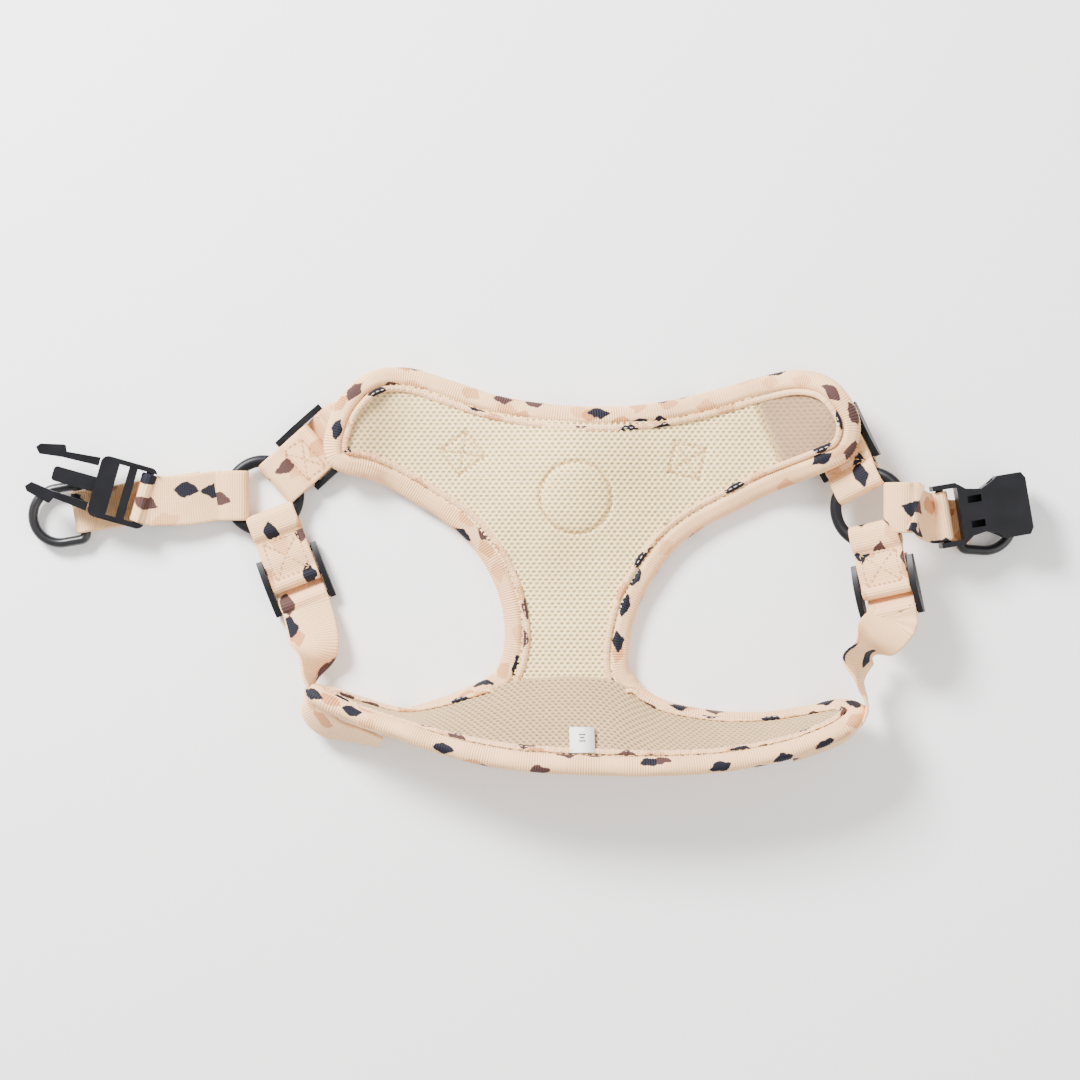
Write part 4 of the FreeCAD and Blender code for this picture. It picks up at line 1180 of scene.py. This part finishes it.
LEASH_RUNS = {
    "left": [(-131.0, 31.2, 4.1), (-145.0, 29.2, 3.6), (-157.0, 27.2, 2.6)],
    "right": [(155.0, 21.8, 18.4), (157.6, 21.5, 14.8), (160.6, 21.0, 9.0), (164.0, 20.4, 4.6)],
}


class HARNESS_OT_leash_tabs(bpy.types.Operator):
    """Fold the lower tabs round the bars of the two leash D-rings"""
    bl_idname = "harness.leash_tabs"
    bl_label = "Leash tabs"

    def execute(self, context):
        for side in ("left", "right"):
            bar, axis = pivot(side + "_leash_tilt")
            heading = np.array(box_centre(side + "_leash_ring")) - bar
            heading = heading - axis * (heading * axis).sum()
            heading /= np.linalg.norm(heading)
            run = list(placed(LEASH_RUNS[side])) + [bar - heading * 6.0 * MM]
            run += [bar - heading * 3.6 * MM + UP * 1.3 * MM]
            run += round_bar(bar, heading, UP, 2.95 * MM, np.linspace(110, -110, 7))
            run += [bar - heading * 3.6 * MM - UP * 1.9 * MM, bar - heading * 9.0 * MM - UP * 1.5 * MM]
            name = side + "_leash_webbing"
            part = strap(np.array(run), np.tile(axis, (len(run), 1)), width=LEASH_WEB_WIDTH, spacing=0.7 * MM)
            piece = add_piece(name, [part], "webbing", body=side + "_back")
            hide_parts(side + "_leash_tab")
        return {"FINISHED"}


class HARNESS_OT_chest(bpy.types.Operator):
    """Sew the chest strip, its ring keeper and the round rubber patch on the outer side"""
    bl_idname = "harness.chest"
    bl_label = "Chest strip and patch"

    def execute(self, context):
        line = smooth([(-31.0, 43.2), (-26.0, 46.9), (-8.0, 51.0), (19.0, 51.0), (46.0, 47.6), (64.0, 43.9),
                       (69.0, 42.7)], 6)
        points = np.column_stack([line, vest_height(line[:, 0], line[:, 1]) - VEST_HALF / MM - 0.62])
        ahead = np.gradient(points, axis=0)
        sides = np.column_stack([-ahead[:, 1], ahead[:, 0], np.zeros(len(ahead))])
        part = strap(placed(points), sides, width=CHEST_WEB_WIDTH, thick=CHEST_WEB_THICK)
        piece = add_piece("chest_webbing", [part], "webbing")
        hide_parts("chest_strip")
        bar, axis = pivot("chest_ring_tilt")
        loop = np.array(round_bar(bar, np.cross(axis, UP), UP, 2.55 * MM, np.linspace(0, 330, 12)))
        part = strap(loop, np.tile(axis, (12, 1)), width=CHEST_WEB_WIDTH, thick=CHEST_WEB_THICK,
                     spacing=0.6 * MM, closed=True)
        piece = add_piece("chest_keeper", [part], "webbing")
        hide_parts("chest_ring_keeper")

        turns = np.linspace(0.0, 2.0 * math.pi, 145)
        radii = np.concatenate([np.linspace(0.4, 15.0, 60), [15.4, 15.6, 15.6]])
        low = -VEST_HALF / MM - 1.4 - 0.35 * np.exp(-((radii - 14.0) / 0.6) ** 4)
        low -= 0.3 * np.exp(-((radii - 9.0) / 0.5) ** 4) + 0.45 * np.exp(-(radii / 4.2) ** 6)
        low[-2:] = (-VEST_HALF / MM - 1.0, -VEST_HALF / MM + 0.2)
        x = PATCH_CENTRE[0] + radii[:, None] * np.cos(turns)[None, :]
        y = PATCH_CENTRE[1] + radii[:, None] * np.sin(turns)[None, :]
        z = vest_height(x, y) + low[:, None]
        keep = np.ones(x.shape, bool)
        mesh = grid_mesh("rubber_patch", placed(np.stack([x, y, z], -1)), keep, np.stack([x, y], -1) * MM)
        piece = add_piece("rubber_patch", mesh, "patch")
        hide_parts("chest_patch")
        return {"FINISHED"}


class HARNESS_OT_hardware(bpy.types.Operator):
    """Give the moulded and wire hardware its finishes"""
    bl_idname = "harness.hardware"
    bl_label = "Buckles, sliders and rings"

    def execute(self, context):
        metal = ("chest_d_ring", "left_leash_ring", "right_leash_ring")
        for name, piece in frame["nodes"].items():
            plastic = name.endswith(("_slider", "_o_ring", "_prong")) or "buckle" in name
            if name in metal or plastic:
                piece.data.materials.clear()
                piece.data.materials.append(MATERIALS["metal" if name in metal else "plastic"])
        return {"FINISHED"}


class HARNESS_PT_panel(bpy.types.Panel):
    """Shows the harness's settings and a button for each step"""
    bl_idname = "HARNESS_PT_panel"
    bl_label = "Harness"
    bl_space_type = "VIEW_3D"
    bl_region_type = "UI"
    bl_category = "Harness"

    def draw(self, context):
        layout = self.layout
        for name in HarnessSettings.__annotations__:
            layout.prop(context.scene.harness, name)
        for step in STEPS:
            layout.operator(step.bl_idname)


STEPS = (HARNESS_OT_finishes, HARNESS_OT_stage, HARNESS_OT_lining, HARNESS_OT_shell, HARNESS_OT_binding,
         HARNESS_OT_stitching, HARNESS_OT_label, HARNESS_OT_tabs, HARNESS_OT_straps,
         HARNESS_OT_back_straps, HARNESS_OT_leash_tabs, HARNESS_OT_chest, HARNESS_OT_hardware)
CLASSES = (HarnessSettings,) + STEPS + (HARNESS_PT_panel,)


def register():
    for made in CLASSES:
        bpy.utils.register_class(made)
    bpy.types.Scene.harness = PointerProperty(type=HarnessSettings)


def unregister():
    del bpy.types.Scene.harness
    for made in reversed(CLASSES):
        bpy.utils.unregister_class(made)


def main():
    register()
    for step in STEPS:
        family, name = step.bl_idname.split(".")
        getattr(getattr(bpy.ops, family), name)()


if __name__ == "__main__":
    main()
